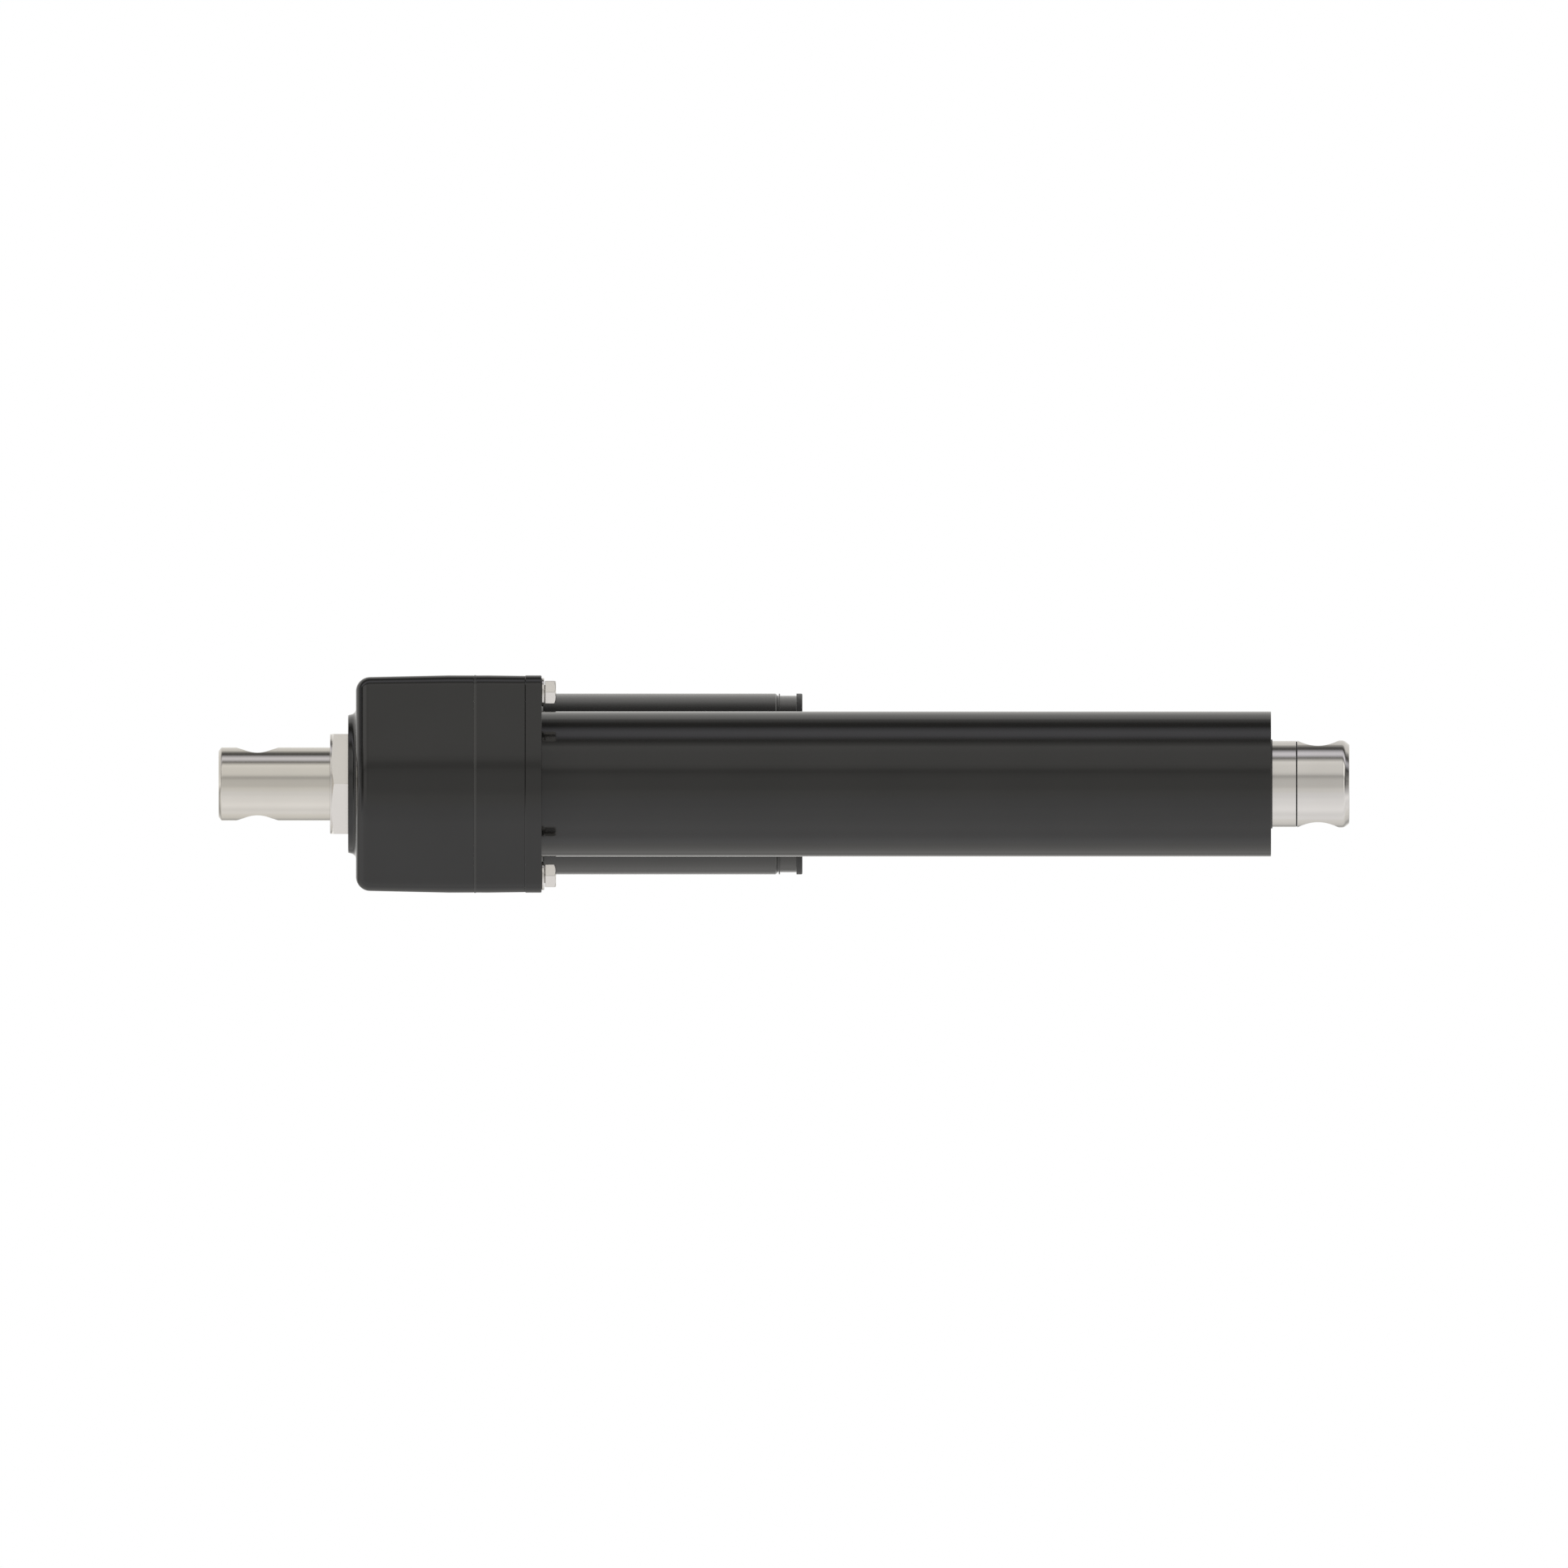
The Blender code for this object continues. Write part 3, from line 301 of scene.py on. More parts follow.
def circle(radius, count, y=0.0, z=0.0):
    """A regular (y, z) outline of that many corners."""
    angles = [math.tau * i / count for i in range(count)]
    return [(y + radius * math.cos(angle), z + radius * math.sin(angle)) for angle in angles]


def cutter(bm):
    """A mesh for cut to take away or add."""
    return new_object("cutter", bm, None, None)


def round_cutter(points, y=0.0, steps=96):
    """A cutter turned about the X axis, or about a line along X at y."""
    return cutter(revolve(points, closed=False, steps=steps, y=y))


def bar(start, end, radius):
    """The profile of a plain round bar, from axis to axis."""
    return [(start, 0.0), (start, radius), (end, radius), (end, 0.0)]


def pin_hole(x, radius, bar_radius, chamfer):
    """A cutter for a vertical pin hole with its two edges broken."""
    past = 2 * MM  # how far the cutter reaches past the bar
    steps = 128
    reach = bar_radius + past
    flare = radius + chamfer + past
    neck = bar_radius - chamfer
    profile = [(-reach, 0.0), (-reach, flare), (-neck, radius), (neck, radius)]
    profile += [(reach, flare), (reach, 0.0)]
    bm = revolve(profile, closed=False, steps=steps)
    off_edges = Matrix.Rotation(math.pi / steps, 3, "X")
    bmesh.ops.rotate(bm, verts=bm.verts, matrix=Matrix.Rotation(-math.pi / 2, 3, "Y") @ off_edges)
    bmesh.ops.translate(bm, verts=bm.verts, vec=(x, 0, 0))
    return cutter(bm)


# Materials


def link(tree, start, end):
    tree.links.new(start, end)


def noise(tree, vector, scale):
    """A noise texture of that many features a metre along X, Y and Z."""
    mapping = tree.nodes.new("ShaderNodeMapping")
    mapping.inputs["Scale"].default_value = scale
    link(tree, vector, mapping.inputs["Vector"])
    texture = tree.nodes.new("ShaderNodeTexNoise")
    texture.inputs["Scale"].default_value = 1.0
    texture.inputs["Detail"].default_value = 3.0
    link(tree, mapping.outputs["Vector"], texture.inputs["Vector"])
    return texture.outputs["Fac"]


def span(tree, value, low, high):
    """Spreads a noise, which seldom leaves 0.3 to 0.7, over low to high."""
    node = tree.nodes.new("ShaderNodeMapRange")
    node.inputs["From Min"].default_value = 0.3
    node.inputs["From Max"].default_value = 0.7
    node.inputs["To Min"].default_value = low
    node.inputs["To Max"].default_value = high
    link(tree, value, node.inputs["Value"])
    return node.outputs["Result"]


def surface(name, dark, light, roughness, metallic, grain, relief, patch=40.0, **shader_values):
    """A material whose colour drifts between two over patches, with a fine grain in its relief.

    roughness is (low, high). grain is the features a metre along X, Y and Z, patch the same for the
    patches, and relief is the grain's depth in metres.
    """
    made = bpy.data.materials.new(name)
    made.use_nodes = True
    tree = made.node_tree
    shader = tree.nodes["Principled BSDF"]
    place = tree.nodes.new("ShaderNodeTexCoord").outputs["Object"]
    broad = noise(tree, place, (patch, patch, patch))
    fine = noise(tree, place, grain)
    mix = tree.nodes.new("ShaderNodeMix")
    mix.data_type = "RGBA"
    mix.inputs["A"].default_value = (*dark, 1.0)
    mix.inputs["B"].default_value = (*light, 1.0)
    link(tree, span(tree, broad, 0.0, 1.0), mix.inputs["Factor"])
    link(tree, mix.outputs["Result"], shader.inputs["Base Color"])
    link(tree, span(tree, fine, *roughness), shader.inputs["Roughness"])
    bump = tree.nodes.new("ShaderNodeBump")
    bump.inputs["Strength"].default_value = 1.0
    bump.inputs["Distance"].default_value = relief
    link(tree, fine, bump.inputs["Height"])
    link(tree, bump.outputs["Normal"], shader.inputs["Normal"])
    shader.inputs["Metallic"].default_value = metallic
    for socket, value in shader_values.items():
        shader.inputs[socket].default_value = value
    return made


TURNED = (2600.0, 26.0, 26.0)  # rings left by the tool, close together along X
SHEET = (900.0, 900.0, 900.0)  # the grain of moulded and pressed pieces
SATIN = (2400.0, 2400.0, 2400.0)  # the grain of a plating
PEEL = (1500.0, 1500.0, 1500.0)  # the fine ripple of sprayed powder

paint = surface(
    "black_coat",
    (0.0165, 0.0161, 0.0150), (0.0195, 0.0190, 0.0178), (0.07, 0.13), 0.0, PEEL, 0.0000010,
    **{"Specular IOR Level": 0.56},
)
motor_paint = surface(
    "motor_coat", (0.0195, 0.0192, 0.0186), (0.0235, 0.0232, 0.0224), (0.16, 0.22), 0.0, PEEL, 0.0000010
)
nickel = surface(
    "nickel_plate", (0.69, 0.66, 0.605), (0.72, 0.69, 0.635), (0.11, 0.15), 1.0, TURNED, 0.0000005
)
zinc = surface(
    "zinc_plate", (0.725, 0.70, 0.665), (0.745, 0.72, 0.685), (0.15, 0.19), 1.0, SATIN, 0.0000004
)
stainless = surface(
    "stainless", (0.68, 0.658, 0.628), (0.73, 0.708, 0.678), (0.10, 0.13), 1.0, TURNED, 0.0000006
)
rubber = surface(
    "rubber", (0.010, 0.010, 0.010), (0.018, 0.018, 0.018), (0.45, 0.60), 0.0, SHEET, 0.000008
)
gloss_rubber = surface(
    "gloss_rubber", (0.016, 0.016, 0.015), (0.022, 0.022, 0.021), (0.2, 0.28), 0.0, SHEET, 0.000002,
    **{"Specular IOR Level": 0.35},
)
# Rubber of the gasket's bead. Its colour, lighter than the black coat beside it, is a painted highlight
# along the bead.
bead_rubber_painted_highlight = surface(
    "bead_rubber_painted_highlight", (0.041, 0.0402, 0.0383), (0.047, 0.0461, 0.0440), (0.12, 0.18), 0.0, SHEET, 0.000001
)
moulding = surface(
    "moulding", (0.012, 0.012, 0.012), (0.018, 0.018, 0.018), (0.36, 0.46), 0.0, SHEET, 0.000004,
    **{"Specular IOR Level": 0.3},
)
gear_steel = surface(
    "gear_steel", (0.34, 0.34, 0.35), (0.46, 0.46, 0.47), (0.24, 0.38), 1.0, TURNED, 0.000002
)
bearing_steel = surface(
    "bearing_steel", (0.56, 0.57, 0.59), (0.66, 0.67, 0.69), (0.10, 0.20), 1.0, TURNED, 0.000001
)
bronze = surface(
    "bronze", (0.50, 0.32, 0.14), (0.66, 0.45, 0.22), (0.25, 0.42), 1.0, TURNED, 0.000002
)
copper = surface(
    "copper", (0.58, 0.24, 0.11), (0.72, 0.36, 0.19), (0.28, 0.40), 1.0, (90.0, 900.0, 900.0), 0.00002
)
ferrite = surface(
    "ferrite", (0.05, 0.05, 0.055), (0.09, 0.09, 0.095), (0.62, 0.80), 0.0, SHEET, 0.000012
)
carbon = surface("carbon", (0.02, 0.02, 0.02), (0.05, 0.05, 0.05), (0.5, 0.7), 0.0, SHEET, 0.00001)
nylon = surface("nylon", (0.66, 0.64, 0.56), (0.76, 0.74, 0.67), (0.38, 0.5), 0.0, SHEET, 0.000004)

BY_SLOT = {
    "black_coat": paint,
    "nickel_plate": nickel,
    "stainless": stainless,
    "rubber": rubber,
    "gear_steel": gear_steel,
    "bearing_steel": bearing_steel,
    "bronze": bronze,
    "copper": copper,
    "ferrite": ferrite,
    "carbon": carbon,
    "nylon": nylon,
}


def finish_cad_nodes():
    """Every CAD node takes its slot's material, which shows on those that no piece stands for."""
    for part in frame["record"]["subparts"]:
        obj = frame["nodes"][part["node"]]
        obj.data.materials.clear()
        obj.data.materials.append(BY_SLOT[part["material_slot"]])


# Rear mount


def make_rear_eye():
    radius = EYE[1].z
    nut_face = NUT[0].x - TOUCH
    shank_r = 11.1 * MM
    profile = rounded(
        [
            (EYE[0].x, 0.0, 0),
            (EYE[0].x, radius - 1.25 * MM, 0.5 * MM),
            (EYE[0].x + 0.95 * MM, radius, 0.6 * MM),
            (nut_face, radius, 0.05 * MM),
            (nut_face, shank_r, 0),
            (EYE[1].x, shank_r, 0.6 * MM),
            (EYE[1].x, 0.0, 0),
        ],
        closed=False,
    )
    bm = revolve(profile, closed=False)
    eye = new_object("rear_eye_bar", bm, nickel, "housing", ["rear_eye"])
    cut(eye, pin_hole(*REAR_PIN, radius, 0.8 * MM))
    even_normals(eye)


def make_jam_nut():
    start, end = NUT[0].x, NUT[1].x
    flats = 2 * NUT[1].z
    corner_r = flats / math.sqrt(3)
    nut = new_object(
        "rear_jam_nut",
        prism(circle(corner_r, 6), start, end),
        zinc,
        "housing",
        ["jam_nut"],
    )
    face_r = flats / 2 - 0.05 * MM
    face_edge = 0.12 * MM
    face_x = start + 0.55 * MM
    clear_r = corner_r + 0.2 * MM
    chamfer_x = 0.85 * MM
    washer_face = [
        (start, 0.0),
        (start, face_r - face_edge),
        (start + face_edge, face_r),
        (face_x, face_r),
        (face_x + chamfer_x, clear_r),
        (end + MM, clear_r),
        (end + MM, 0.0),
    ]
    cut(nut, round_cutter(washer_face, steps=ROUND_STEPS), operation="INTERSECT")
    cut(nut, round_cutter(bar(start - MM, end + MM, SHANK_HOLE_R)))
    soften(nut, 0.3 * MM)


# Gear housing


def housing_hollows():
    """Cutters for the room that the gears run in, and for what the rear cover holds."""
    cavity_start = 54 * MM
    hub_start = 50 * MM
    cavity = cutter(prism(loop_round(CAVITY_OUTLINE, steps=96), cavity_start, COVER[1].x + MM))
    hub = round_cutter(bar(hub_start, 69.8 * MM, 21 * MM))
    bush_hub = round_cutter(bar(hub_start, 66.3 * MM, 9 * MM), y=CLUSTER_Y)
    cut(cavity, hub, bush_hub)
    start, bearing_start, end = 40 * MM, 60.2 * MM, 75 * MM
    bearing_r = 16.3 * MM
    pocket = [
        (start, 0.0),
        (start, SHANK_HOLE_R),
        (bearing_start, SHANK_HOLE_R),
        (bearing_start, bearing_r),
        (end, bearing_r),
        (end, 0.0),
    ]
    bush_start = 57 * MM
    bush_pocket = round_cutter(bar(bush_start, end, BUSH_POCKET_R), y=CLUSTER_Y)
    return [cavity, round_cutter(pocket), bush_pocket]


def holes(places, radius, start, end):
    """Cutters for holes along X at (y, z) places."""
    return [cutter(prism(circle(radius, HOLE_STEPS, y, z), start, end)) for y, z in places]


def bolt_holes(start, end):
    return holes(BOLT_PLACES, BOLT_HOLE_R, start, end)


def make_rear_cover():
    draft = 0.6 * MM
    corner = 5.0 * MM
    corner_steps = 12
    rear = 48.05 * MM
    draft_end = 80.5 * MM
    profile = []
    for i in range(corner_steps + 1):
        turn = math.pi / 2 * i / corner_steps
        profile.append((rear + corner * (1 - math.cos(turn)), draft + corner * (1 - math.sin(turn))))
    profile += [(draft_end, 0.0), (COVER[1].x - 0.2 * MM, 0.02 * MM), (COVER[1].x, JOINT_EDGE)]
    bm = loft(outline_rings(profile))
    cover = new_object("rear_housing_shell", bm, paint, "housing", ["rear_cover"])
    boss_face = NUT[1].x + TOUCH
    boss_foot_r = 28.6 * MM
    boss_end = 50 * MM
    boss_points = rounded(
        [
            (boss_face, 0.0, 0),
            (boss_face, 24.1 * MM, 0.35 * MM),
            (rear - 0.03 * MM, 24.8 * MM, 2.0 * MM),
            (rear + 0.1 * MM, boss_foot_r, 0),
            (boss_end, boss_foot_r, 0),
            (boss_end, 0.0, 0),
        ],
        closed=False,
        steps=8,
    )
    boss = cutter(revolve(boss_points, closed=False))
    cut(cover, boss, operation="UNION")
    bolt_holes_start = 76.5 * MM
    cut(cover, *housing_hollows(), *bolt_holes(bolt_holes_start, COVER[1].x + MM))
    even_normals(cover)


def make_gasket():
    """The gasket, with a low bead that laps over the front half's edge."""
    start, end = COVER[1].x + TOUCH, FRONT[0].x - TOUCH
    bead_end = end + 0.1 * MM
    foot, crest = 0.02 * MM, -0.1 * MM  # insets from the housing's outline
    under = 0.3 * MM
    steps = 12
    bead = []
    for i in range(steps + 1):
        across = i / steps
        inset = foot + (crest - foot) * math.sin(math.pi * across)
        bead.append((start + (bead_end - start) * across, inset))
    profile = [(start, under), *bead, (end, 0.1 * MM), (end, under)]
    bm = loft(outline_rings(profile))
    sharp = 50
    # The bead's lighter colour is a painted highlight.
    gasket = new_object(
        "parting_gasket", bm, bead_rubber_painted_highlight, "housing", ["housing_gasket"], sharp=sharp
    )
    window = cutter(prism(loop_round(CAVITY_OUTLINE, -0.3 * MM, steps=96), start - MM, end + MM))
    cut(gasket, window, *bolt_holes(start - MM, end + MM), sharp=sharp)


def make_front_housing():
    start, end = FRONT[0].x, PLATE_BACK - TOUCH
    profile = [
        (start, JOINT_EDGE),
        (start + JOINT_EDGE, 0.03 * MM),
        (94 * MM, 0.0),
        (end - 0.08 * MM, 0.17 * MM),
        (end, 0.25 * MM),
    ]
    bm = loft(outline_rings(profile))
    housing = new_object("front_housing_shell", bm, paint, "housing", ["front_housing"])
    floor = 94.6 * MM
    screw_r, bearing_r, shaft_r = 13.5 * MM, 17.8 * MM, 7.8 * MM
    bearing_start, tube_start, motor_bearing_start = 95.4 * MM, 104 * MM, 104.6 * MM
    bush_end = 104 * MM
    pocket = [
        (floor - MM, 0.0),
        (floor - MM, screw_r),
        (bearing_start, screw_r),
        (bearing_start, bearing_r),
        (tube_start, bearing_r),
        (tube_start, TUBE_HOLE_R),
        (end + MM, TUBE_HOLE_R),
        (end + MM, 0.0),
    ]
    shaft = [
        (floor - MM, 0.0),
        (floor - MM, shaft_r),
        (motor_bearing_start, shaft_r),
        (motor_bearing_start, MOTOR_BEARING_POCKET_R),
        (end + MM, MOTOR_BEARING_POCKET_R),
        (end + MM, 0.0),
    ]
    cut(
        housing,
        cutter(prism(loop_round(CAVITY_OUTLINE, steps=96), start - MM, floor)),
        round_cutter(pocket),
        round_cutter(bar(floor - MM, bush_end, BUSH_POCKET_R), y=CLUSTER_Y),
        round_cutter(shaft, y=MOTOR_Y),
        *bolt_holes(start - MM, end + MM),
    )
    even_normals(housing)


def make_front_plate():
    start, end = PLATE_BACK, PLATE_FACE
    front_edge = 0.4 * MM
    steps = 5
    profile = [(start, 0.2 * MM), (start + 0.3 * MM, 0.0)]
    for i in range(steps + 1):
        turn = math.pi / 2 * i / steps
        profile.append((end - front_edge * (1 - math.sin(turn)), front_edge * (1 - math.cos(turn))))
    bm = loft(outline_rings(profile))
    plate = new_object("front_cover_plate", bm, paint, "housing", ["front_plate"])
    pilot_start, pilot_r = end - 2 * MM, 28.3 * MM
    pilot = cutter(revolve(bar(pilot_start, PLATE[1].x, pilot_r), closed=False, y=MOTOR_Y))
    cut(plate, pilot, operation="UNION")
    groove_start, groove_end, groove_r = 109.4 * MM, 111.6 * MM, 27.6 * MM
    tube_hole = [
        (start - MM, 0.0),
        (start - MM, TUBE_HOLE_R),
        (groove_start, TUBE_HOLE_R),
        (groove_start, groove_r),
        (groove_end, groove_r),
        (groove_end, TUBE_HOLE_R),
        (end + MM, TUBE_HOLE_R),
        (end + MM, 0.0),
    ]
    bearing_end, shaft_r = 112.2 * MM, 7 * MM
    through_holes_start = 109 * MM
    shaft = [
        (start - MM, 0.0),
        (start - MM, MOTOR_BEARING_POCKET_R),
        (bearing_end, MOTOR_BEARING_POCKET_R),
        (bearing_end, shaft_r),
        (PLATE[1].x + MM, shaft_r),
        (PLATE[1].x + MM, 0.0),
    ]
    cut(
        plate,
        round_cutter(tube_hole, steps=ROUND_STEPS),
        round_cutter(shaft, y=MOTOR_Y),
        *bolt_holes(start - MM, end + MM),
        *holes(THROUGH_PLACES, THROUGH_HOLE_R, through_holes_start, end + 3 * MM),
    )
    even_normals(plate)


def bolt_object(start, head_start, head_end, shank_r, flats):
    """A hexagon bolt along X: a head chamfered to a round face, and its shank."""
    corner_r = flats / math.sqrt(3)
    head = cutter(prism(circle(corner_r, 6), head_start, head_end))
    chamfer_start = head_end - 0.15 * corner_r
    face_r = flats / 2 * 0.92
    cone = [
        (head_start - MM, 0.0),
        (head_start - MM, corner_r + MM),
        (chamfer_start, corner_r + MM),
        (chamfer_start, corner_r + 0.1 * MM),
        (head_end, face_r),
        (head_end, 0.0),
    ]
    cut(head, round_cutter(cone), operation="INTERSECT")
    shank = cutter(revolve(bar(start, head_start + MM, shank_r), closed=False, steps=48))
    return cut(head, shank, operation="UNION")


def place_copies(source, material, kind, places):
    """A fine copy of a mesh at each (y, z), which stands for the numbered CAD nodes of that kind."""
    mesh = source.data
    mesh.materials.clear()
    mesh.materials.append(material)
    mesh.shade_smooth()
    mesh.set_sharp_from_angle(angle=math.radians(30))
    for number, (y, z) in enumerate(places, start=1):
        copy = bpy.data.objects.new(f"{kind}_fine_{number}", mesh)
        bpy.context.scene.collection.objects.link(copy)
        copy.location = (0.0, y, z)
        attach(copy, "housing")
        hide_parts(f"{kind}_{number}")
        soften(copy, 0.22 * MM)
    bpy.data.objects.remove(source)


def make_bolts():
    """M5 bolts and their washers on the front plate, and M4 through bolts in the motor's cap."""
    low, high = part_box("housing_bolt_1")
    head_start = PLATE_FACE + 1.15 * MM
    bolt = bolt_object(low.x, head_start, high.x, shank_r=2.5 * MM, flats=8 * MM)
    place_copies(bolt, zinc, "housing_bolt", BOLT_PLACES)
    seat, top = PLATE_FACE + TOUCH, PLATE_FACE + 0.9 * MM
    inner, outer = 2.8 * MM, 5 * MM
    corners = [(seat, inner), (top, inner), (top, outer), (seat, outer)]
    washer = cutter(revolve(corners, steps=96))
    place_copies(washer, zinc, "bolt_washer", BOLT_PLACES)
    low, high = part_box("motor_through_bolt_1")
    head_start = high.x - 2.8 * MM
    bolt = bolt_object(low.x, head_start, high.x, shank_r=2.0 * MM, flats=7 * MM)
    place_copies(bolt, zinc, "motor_through_bolt", THROUGH_PLACES)


# Tube, rod and motor


def turned_piece(name, corners, material, body, replaced, y=0.0):
    """A turned piece with a hole through it, from profile corners (x, radius, fillet)."""
    bm = revolve(rounded(corners), y=y)
    return even_normals(new_object(name, bm, material, body, [replaced]))


def make_tube():
    start, end = TUBE[0].x, TUBE[1].x
    groove_start, groove_end, groove_r = 361.2 * MM, 362.9 * MM, 23.4 * MM
    turned_piece(
        "cover_tube_sleeve",
        [
            (start, TUBE_BORE_R, 0),
            (groove_start, TUBE_BORE_R, 0),
            (groove_start, groove_r, 0),
            (groove_end, groove_r, 0),
            (groove_end, TUBE_BORE_R, 0),
            (end, TUBE_BORE_R, 0.15 * MM),
            (end, TUBE[1].z, 0.3 * MM),
            (start, TUBE[1].z, 0.2 * MM),
        ],
        paint,
        "housing",
        "cover_tube",
    )
    lip = WIPER[1].x
    shoulder = end - 0.6 * MM
    inner, outer = ROD[1].z + 0.3 * MM, TUBE_BORE_R - 0.3 * MM
    turned_piece(
        "rod_wiper",
        [
            (WIPER[0].x, inner, 0),
            (lip, inner, 0.05 * MM),
            (lip, inner + 0.12 * MM, 0.05 * MM),
            (shoulder, inner + 0.35 * MM, 0.1 * MM),
            (shoulder, outer, 0.2 * MM),
            (WIPER[0].x, outer, 0),
        ],
        rubber,
        "housing",
        "wiper_seal",
    )


def make_rod():
    joint = ROD_EYE_FACE - TOUCH
    turned_piece(
        "rod_tube",
        [
            (ROD[0].x, ROD_BORE_R, 0.3 * MM),
            (joint, ROD_BORE_R, 0.1 * MM),
            (joint, ROD[1].z, 0.12 * MM),
            (ROD[0].x, ROD[1].z, 0.3 * MM),
        ],
        stainless,
        "rod",
        "extension_tube",
    )
    start, end = ROD_EYE[0].x, ROD_EYE[1].x
    radius = ROD_EYE[1].z
    spigot_r = ROD_BORE_R - 0.3 * MM
    groove_r = radius - 0.4 * MM
    groove_end = ROD_EYE_FACE + 0.38 * MM
    corner = 1.95 * MM
    profile = rounded(
        [
            (start, 0.0, 0),
            (start, spigot_r, 0.5 * MM),
            (ROD_EYE_FACE, spigot_r, 0),
            (ROD_EYE_FACE, groove_r, 0),
            (groove_end, groove_r, 0),
            (groove_end, radius, 0.1 * MM),
            (end - corner, radius, 2.2 * MM),
            (end, radius - corner * 0.77, 0.6 * MM),
            (end, 0.0, 0),
        ],
        closed=False,
    )
    bm = revolve(profile, closed=False)
    eye = new_object("rod_end_eye", bm, stainless, "rod", ["rod_eye"])
    cut(eye, pin_hole(*ROD_PIN, radius, 0.12 * MM))
    even_normals(eye)
    # The groove's floor and side take the dark carbon material: painted shade in the groove.
    eye.data.materials.append(carbon)
    slack = 0.01 * MM
    for face in eye.data.polygons:
        x, y, z = face.center
        in_groove = ROD_EYE_FACE - slack < x < groove_end + slack
        if in_groove and math.hypot(y, z) < radius - 0.08 * MM:
            face.material_index = 1


def make_motor():
    start, end = CAN[0].x, CAN[1].x
    bore = 28.85 * MM
    turned_piece(
        "motor_body",
        [
            (start, bore, 0),
            (end, bore, 0),
            (end, MOTOR_R - 0.65 * MM, 0.1 * MM),
            (end - 0.15 * MM, MOTOR_R - 0.35 * MM, 0.1 * MM),
            (end - 0.7 * MM, MOTOR_R, 0.2 * MM),
            (start, MOTOR_R, 0.3 * MM),
        ],
        motor_paint,
        "housing",
        "motor_can",
        y=MOTOR_Y,
    )
    neck_r = MOTOR_R - 0.75 * MM
    seal_r = MOTOR_R - 0.02 * MM
    turned_piece(
        "motor_seal",
        [
            (SEAL[0].x, neck_r + TOUCH, 0),
            (SEAL[1].x, neck_r + TOUCH, 0),
            (SEAL[1].x, seal_r, 0.2 * MM),
            (SEAL[0].x, seal_r, 0.2 * MM),
        ],
        gloss_rubber,
        "housing",
        "motor_seal_ring",
        y=MOTOR_Y,
    )
    # The cap has a spigot in the can, a neck under the seal, a flange, and a pocket for the rear bush.
    flange = 202.2 * MM
    neck_start = end + TOUCH
    cap_start, cap_end = 189 * MM, CAP[1].x
    spigot_inner, spigot_outer = 25.5 * MM, 28.5 * MM
    floor, bush_start, bush_end = 195.3 * MM, 196.1 * MM, 202 * MM
    hub_r, bush_r, end_hole_r = 12 * MM, 9.8 * MM, 5 * MM
    profile = rounded(
        [
            (cap_start, spigot_inner, 0.2 * MM),
            (floor, spigot_inner, 0),
            (floor, hub_r, 0.3 * MM),
            (bush_start, hub_r, 0),
            (bush_start, bush_r, 0.2 * MM),
            (bush_end, bush_r, 0),
            (bush_end, end_hole_r, 0),
            (cap_end, end_hole_r, 0.3 * MM),
            (cap_end, MOTOR_R, 0.45 * MM),
            (flange, MOTOR_R, 0.15 * MM),
            (flange, neck_r, 0.2 * MM),
            (neck_start, neck_r, 0.1 * MM),
            (neck_start, spigot_outer, 0),
            (cap_start, spigot_outer, 0.2 * MM),
        ]
    )
    bm = revolve(profile, y=MOTOR_Y)
    cap = new_object("motor_rear_cap", bm, motor_paint, "housing", ["motor_end_cap"])
    lead_y = (GROMMET[0].y + GROMMET[1].y) / 2
    lead_hole = cutter(prism(circle(3 * MM, 48, lead_y, 0.0), 190 * MM, cap_end + MM))
    through_holes = holes(THROUGH_PLACES, THROUGH_HOLE_R, cap_start - MM, cap_end + MM)
    cut(cap, *through_holes, lead_hole)
    even_normals(cap)
    # The flange is the moulded end of the cap.
    cap.data.materials.append(moulding)
    for face in cap.data.polygons:
        if face.center.x > flange - 0.01 * MM:
            face.material_index = 1
    bush_start, bush_end = GROMMET[0].x, GROMMET[1].x
    flange_back = cap_end + 0.3 * MM
    lead_r, body_r, flange_r = 1.4 * MM, 2.7 * MM, 3.6 * MM
    turned_piece(
        "lead_bush",
        [
            (bush_start, lead_r, 0),
            (bush_end, lead_r, 0.2 * MM),
            (bush_end, 2.2 * MM, 0.25 * MM),
            (flange_back + MM, flange_r, 0.3 * MM),
            (flange_back, flange_r, 0.15 * MM),
            (flange_back, body_r, 0),
            (bush_start, body_r, 0),
        ],
        rubber,
        "housing",
        "lead_grommet",
        y=lead_y,
    )


# Studio


def math_node(tree, operation, *values):
    """A Math node whose inputs are numbers or other nodes' outputs."""
    node = tree.nodes.new("ShaderNodeMath")
    node.operation = operation
    for socket, value in zip(node.inputs, values):
        if isinstance(value, (int, float)):
            socket.default_value = value
        else:
            link(tree, value, socket)
    return node.outputs["Value"]


def ramp(tree, value, stops):
    """A colour ramp through (place, (red, green, blue)) stops, the first at 0 and the last at 1."""
    node = tree.nodes.new("ShaderNodeValToRGB")
    elements = node.color_ramp.elements
    node.color_ramp.interpolation = "EASE"
    elements[0].color = (*stops[0][1], 1.0)
    elements[1].color = (*stops[-1][1], 1.0)
    for place, colour in stops[1:-1]:
        elements.new(place).color = (*colour, 1.0)
    link(tree, value, node.inputs["Fac"])
    return node.outputs["Color"]


WARM = (1.0, 0.985, 0.955)
COOL = (0.985, 0.975, 1.04)
NEUTRAL = (1.0, 0.993, 1.0)
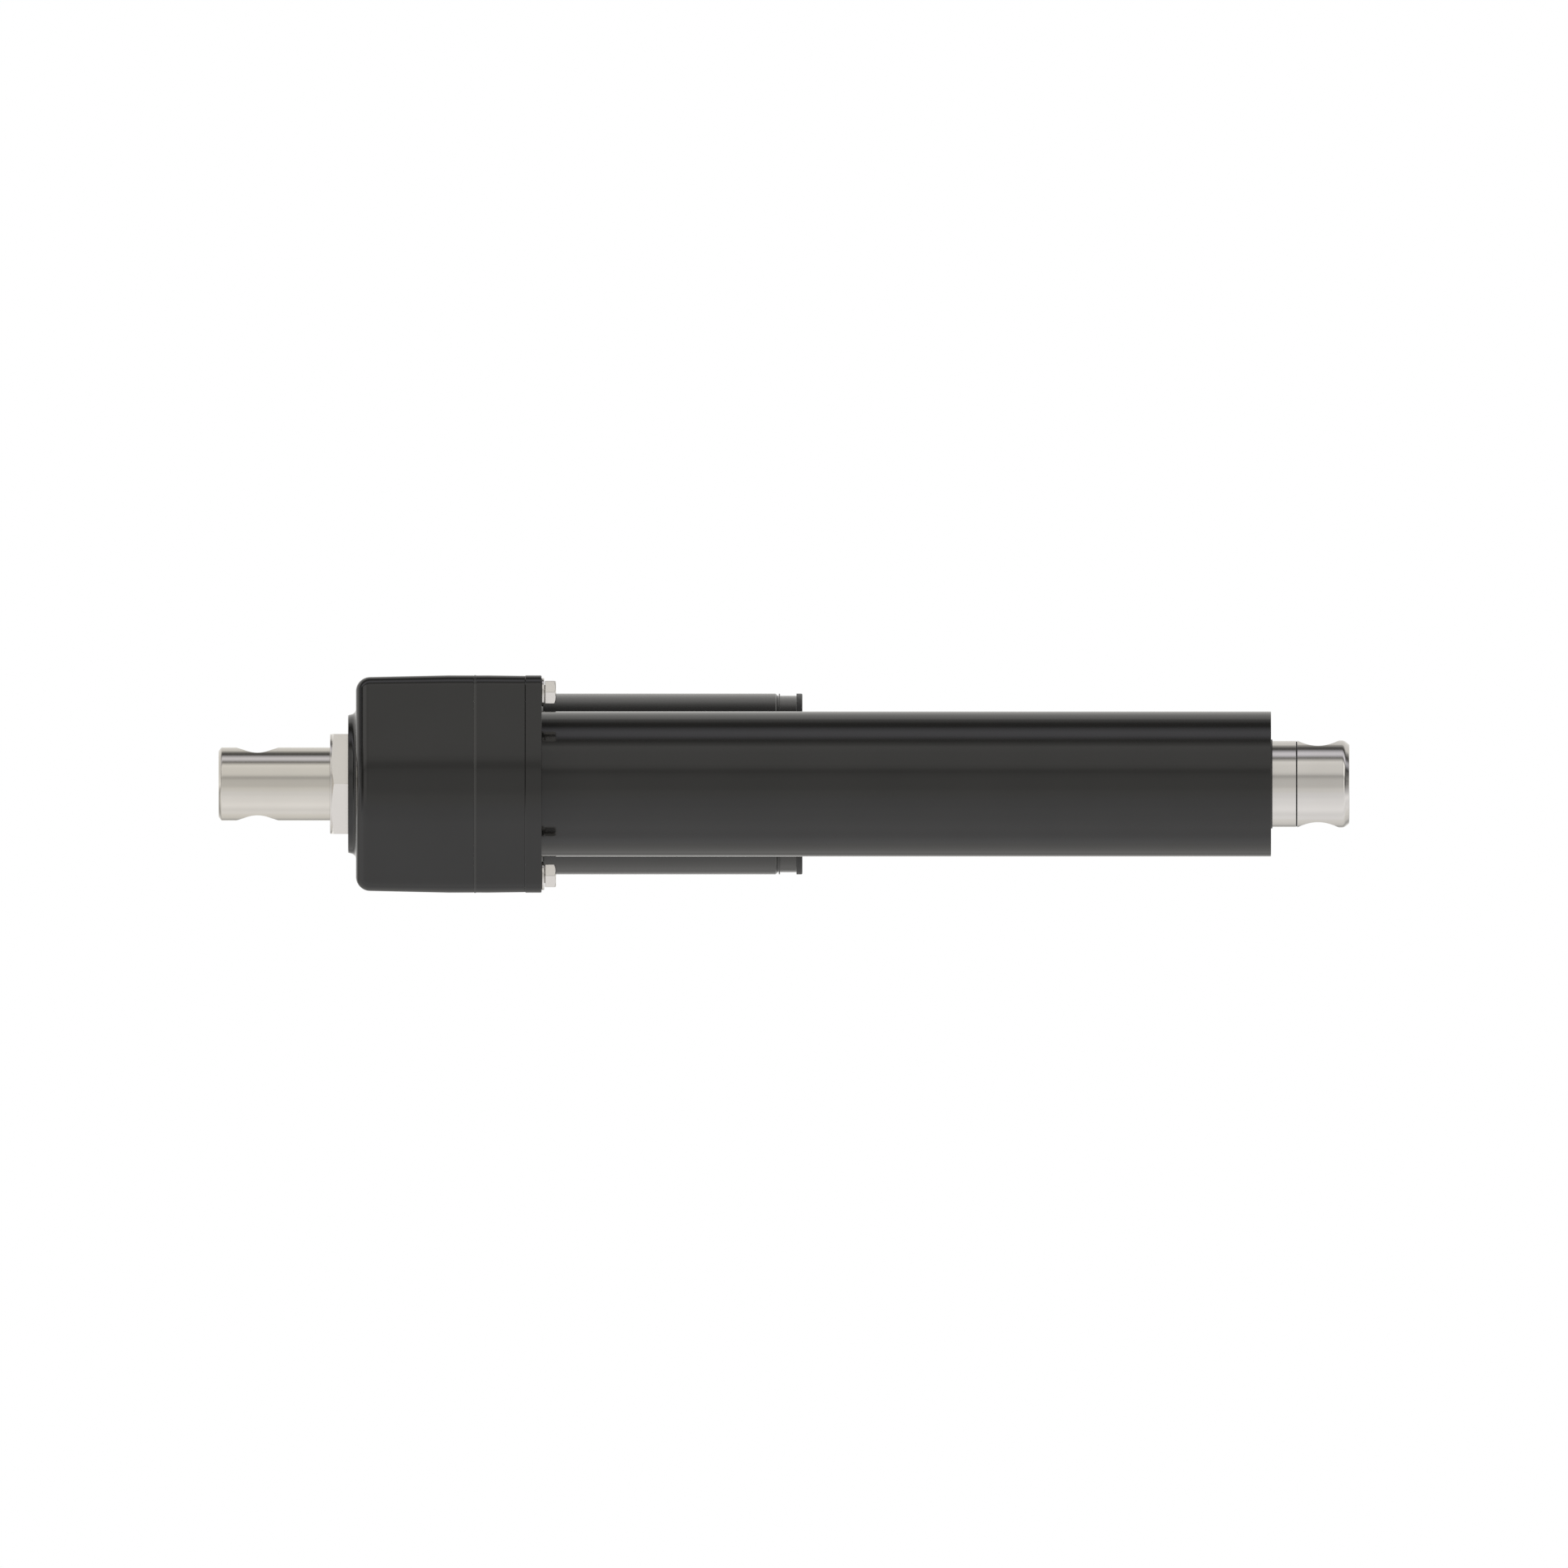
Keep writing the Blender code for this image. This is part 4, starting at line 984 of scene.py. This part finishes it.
# Soft boxes and the dark gaps between them: (degrees round the X axis, brightness). 0 is straight
# ahead of the object's near side, 90 is overhead and 180 is behind it.
SWEEP = [
    (-180, 1.00), (-150, 0.43), (-138, 0.70), (-118, 0.82), (-103, 0.90), (-90, 0.86), (-72, 0.97),
    (-46, 0.89), (-30, 0.81), (-15, 0.74), (-6, 0.62), (8, 0.61), (14, 0.56), (19, 0.44), (22, 0.48),
    (27, 0.68), (33, 0.77), (50, 0.79), (61, 0.86), (67, 0.52), (72, 0.22), (75, 0.22), (79, 0.50),
    (84, 0.77), (90, 0.77), (95, 0.61), (100, 0.34), (105, 0.09), (112, 0.09), (121, 0.32), (131, 0.74),
    (180, 0.90),
]
TINTS = [((-110, -20), NEUTRAL), ((79, 100), COOL)]  # ((first, last) degrees, tint). The rest is WARM.
# The same to the left and right of straight ahead: (how far the direction points along X, share of
# the light let through)
ENDS = [
    (0.0, 1.0), (0.22, 1.0), (0.30, 0.82), (0.42, 1.0), (0.55, 1.35), (0.76, 1.35), (0.87, 0.14),
    (0.94, 0.18), (1.0, 0.95),
]
BRIGHTEST = 1.35  # the largest share in ENDS. A colour ramp holds no more than 1.


def world_light():
    """A white sweep, as the camera sees it, with soft boxes and gaps in what the object reflects."""
    world = bpy.data.worlds.new("studio")
    bpy.context.scene.world = world
    world.use_nodes = True
    tree = world.node_tree
    split = tree.nodes.new("ShaderNodeSeparateXYZ")
    link(tree, tree.nodes.new("ShaderNodeTexCoord").outputs["Generated"], split.inputs["Vector"])
    along, depth, height = split.outputs
    ahead = math_node(tree, "MULTIPLY", depth, -1.0)
    angle = math_node(tree, "ARCTAN2", height, ahead)
    share = math_node(tree, "MULTIPLY_ADD", angle, 1 / math.tau, 0.5)
    stops = []
    for degrees, level in SWEEP:
        tint = WARM
        for (first, last), other in TINTS:
            if first <= degrees <= last:
                tint = other
        stops.append(((degrees + 180) / 360, [level * channel for channel in tint]))
    light = ramp(tree, share, stops)
    grey_stops = [(place, [level / BRIGHTEST] * 3) for place, level in ENDS]
    shade = tree.nodes.new("ShaderNodeVectorMath")
    shade.operation = "SCALE"
    shade.inputs["Scale"].default_value = BRIGHTEST
    link(tree, ramp(tree, math_node(tree, "ABSOLUTE", along), grey_stops), shade.inputs["Vector"])
    # The gaps to the sides end a little below eye level and don't reach behind the object.
    in_front = math_node(tree, "MULTIPLY_ADD", ahead, 4.0, 0.4)
    in_front.node.use_clamp = True
    above = math_node(tree, "MULTIPLY_ADD", height, 3.0, 1.1)
    above.node.use_clamp = True
    shaded = tree.nodes.new("ShaderNodeMix")
    shaded.data_type = "RGBA"
    shaded.blend_type = "MULTIPLY"
    link(tree, math_node(tree, "MULTIPLY", in_front, above), shaded.inputs["Factor"])
    link(tree, light, shaded.inputs["A"])
    link(tree, shade.outputs["Vector"], shaded.inputs["B"])
    seen = tree.nodes.new("ShaderNodeLightPath").outputs["Is Camera Ray"]
    mix = tree.nodes.new("ShaderNodeMix")
    mix.data_type = "RGBA"
    mix.inputs["B"].default_value = (1.0, 1.0, 1.0, 1.0)
    link(tree, seen, mix.inputs["Factor"])
    link(tree, shaded.outputs["Result"], mix.inputs["A"])
    link(tree, mix.outputs["Result"], tree.nodes["Background"].inputs["Color"])


def make_floor():
    """A pale floor under the object. Reflections don't see it, and see the sweep instead."""
    half_size = 3.0
    low = cad_box[0].z
    bm = bmesh.new()
    bmesh.ops.create_grid(bm, x_segments=8, y_segments=8, size=half_size)
    mesh = bpy.data.meshes.new("floor")
    bm.to_mesh(mesh)
    bm.free()
    floor = bpy.data.objects.new("floor", mesh)
    bpy.context.scene.collection.objects.link(floor)
    floor.location = (0.2, 0.0, low)
    floor.visible_glossy = False
    floor.visible_diffuse = False
    mesh.materials.append(
        surface(
            "floor", (0.80, 0.80, 0.80), (0.83, 0.83, 0.83), (0.6, 0.7), 0.0, SHEET, 0.00001, patch=3.0,
            **{"Emission Color": (1.0, 1.0, 1.0, 1.0), "Emission Strength": 0.58},
        )
    )


def make_camera():
    """A level view straight at the tube's side, with no perspective."""
    middle = (cad_box[0].x + cad_box[1].x) / 2
    length = cad_box[1].x - cad_box[0].x
    data = bpy.data.cameras.new("camera")
    data.type = "ORTHO"
    data.ortho_scale = length * 1.3866  # the picture is this many lengths of the object wide
    camera = bpy.data.objects.new("camera", data)
    bpy.context.scene.collection.objects.link(camera)
    camera.location = (middle, -1.5, 0.0)
    camera.rotation_euler = (math.pi / 2, 0.0, 0.0)
    bpy.context.scene.camera = camera


finish_cad_nodes()
make_rear_eye()
make_jam_nut()
make_rear_cover()
make_gasket()
make_front_housing()
make_front_plate()
make_bolts()
make_tube()
make_rod()
make_motor()
world_light()
make_floor()
make_camera()
bpy.context.scene.view_settings.view_transform = "Standard"
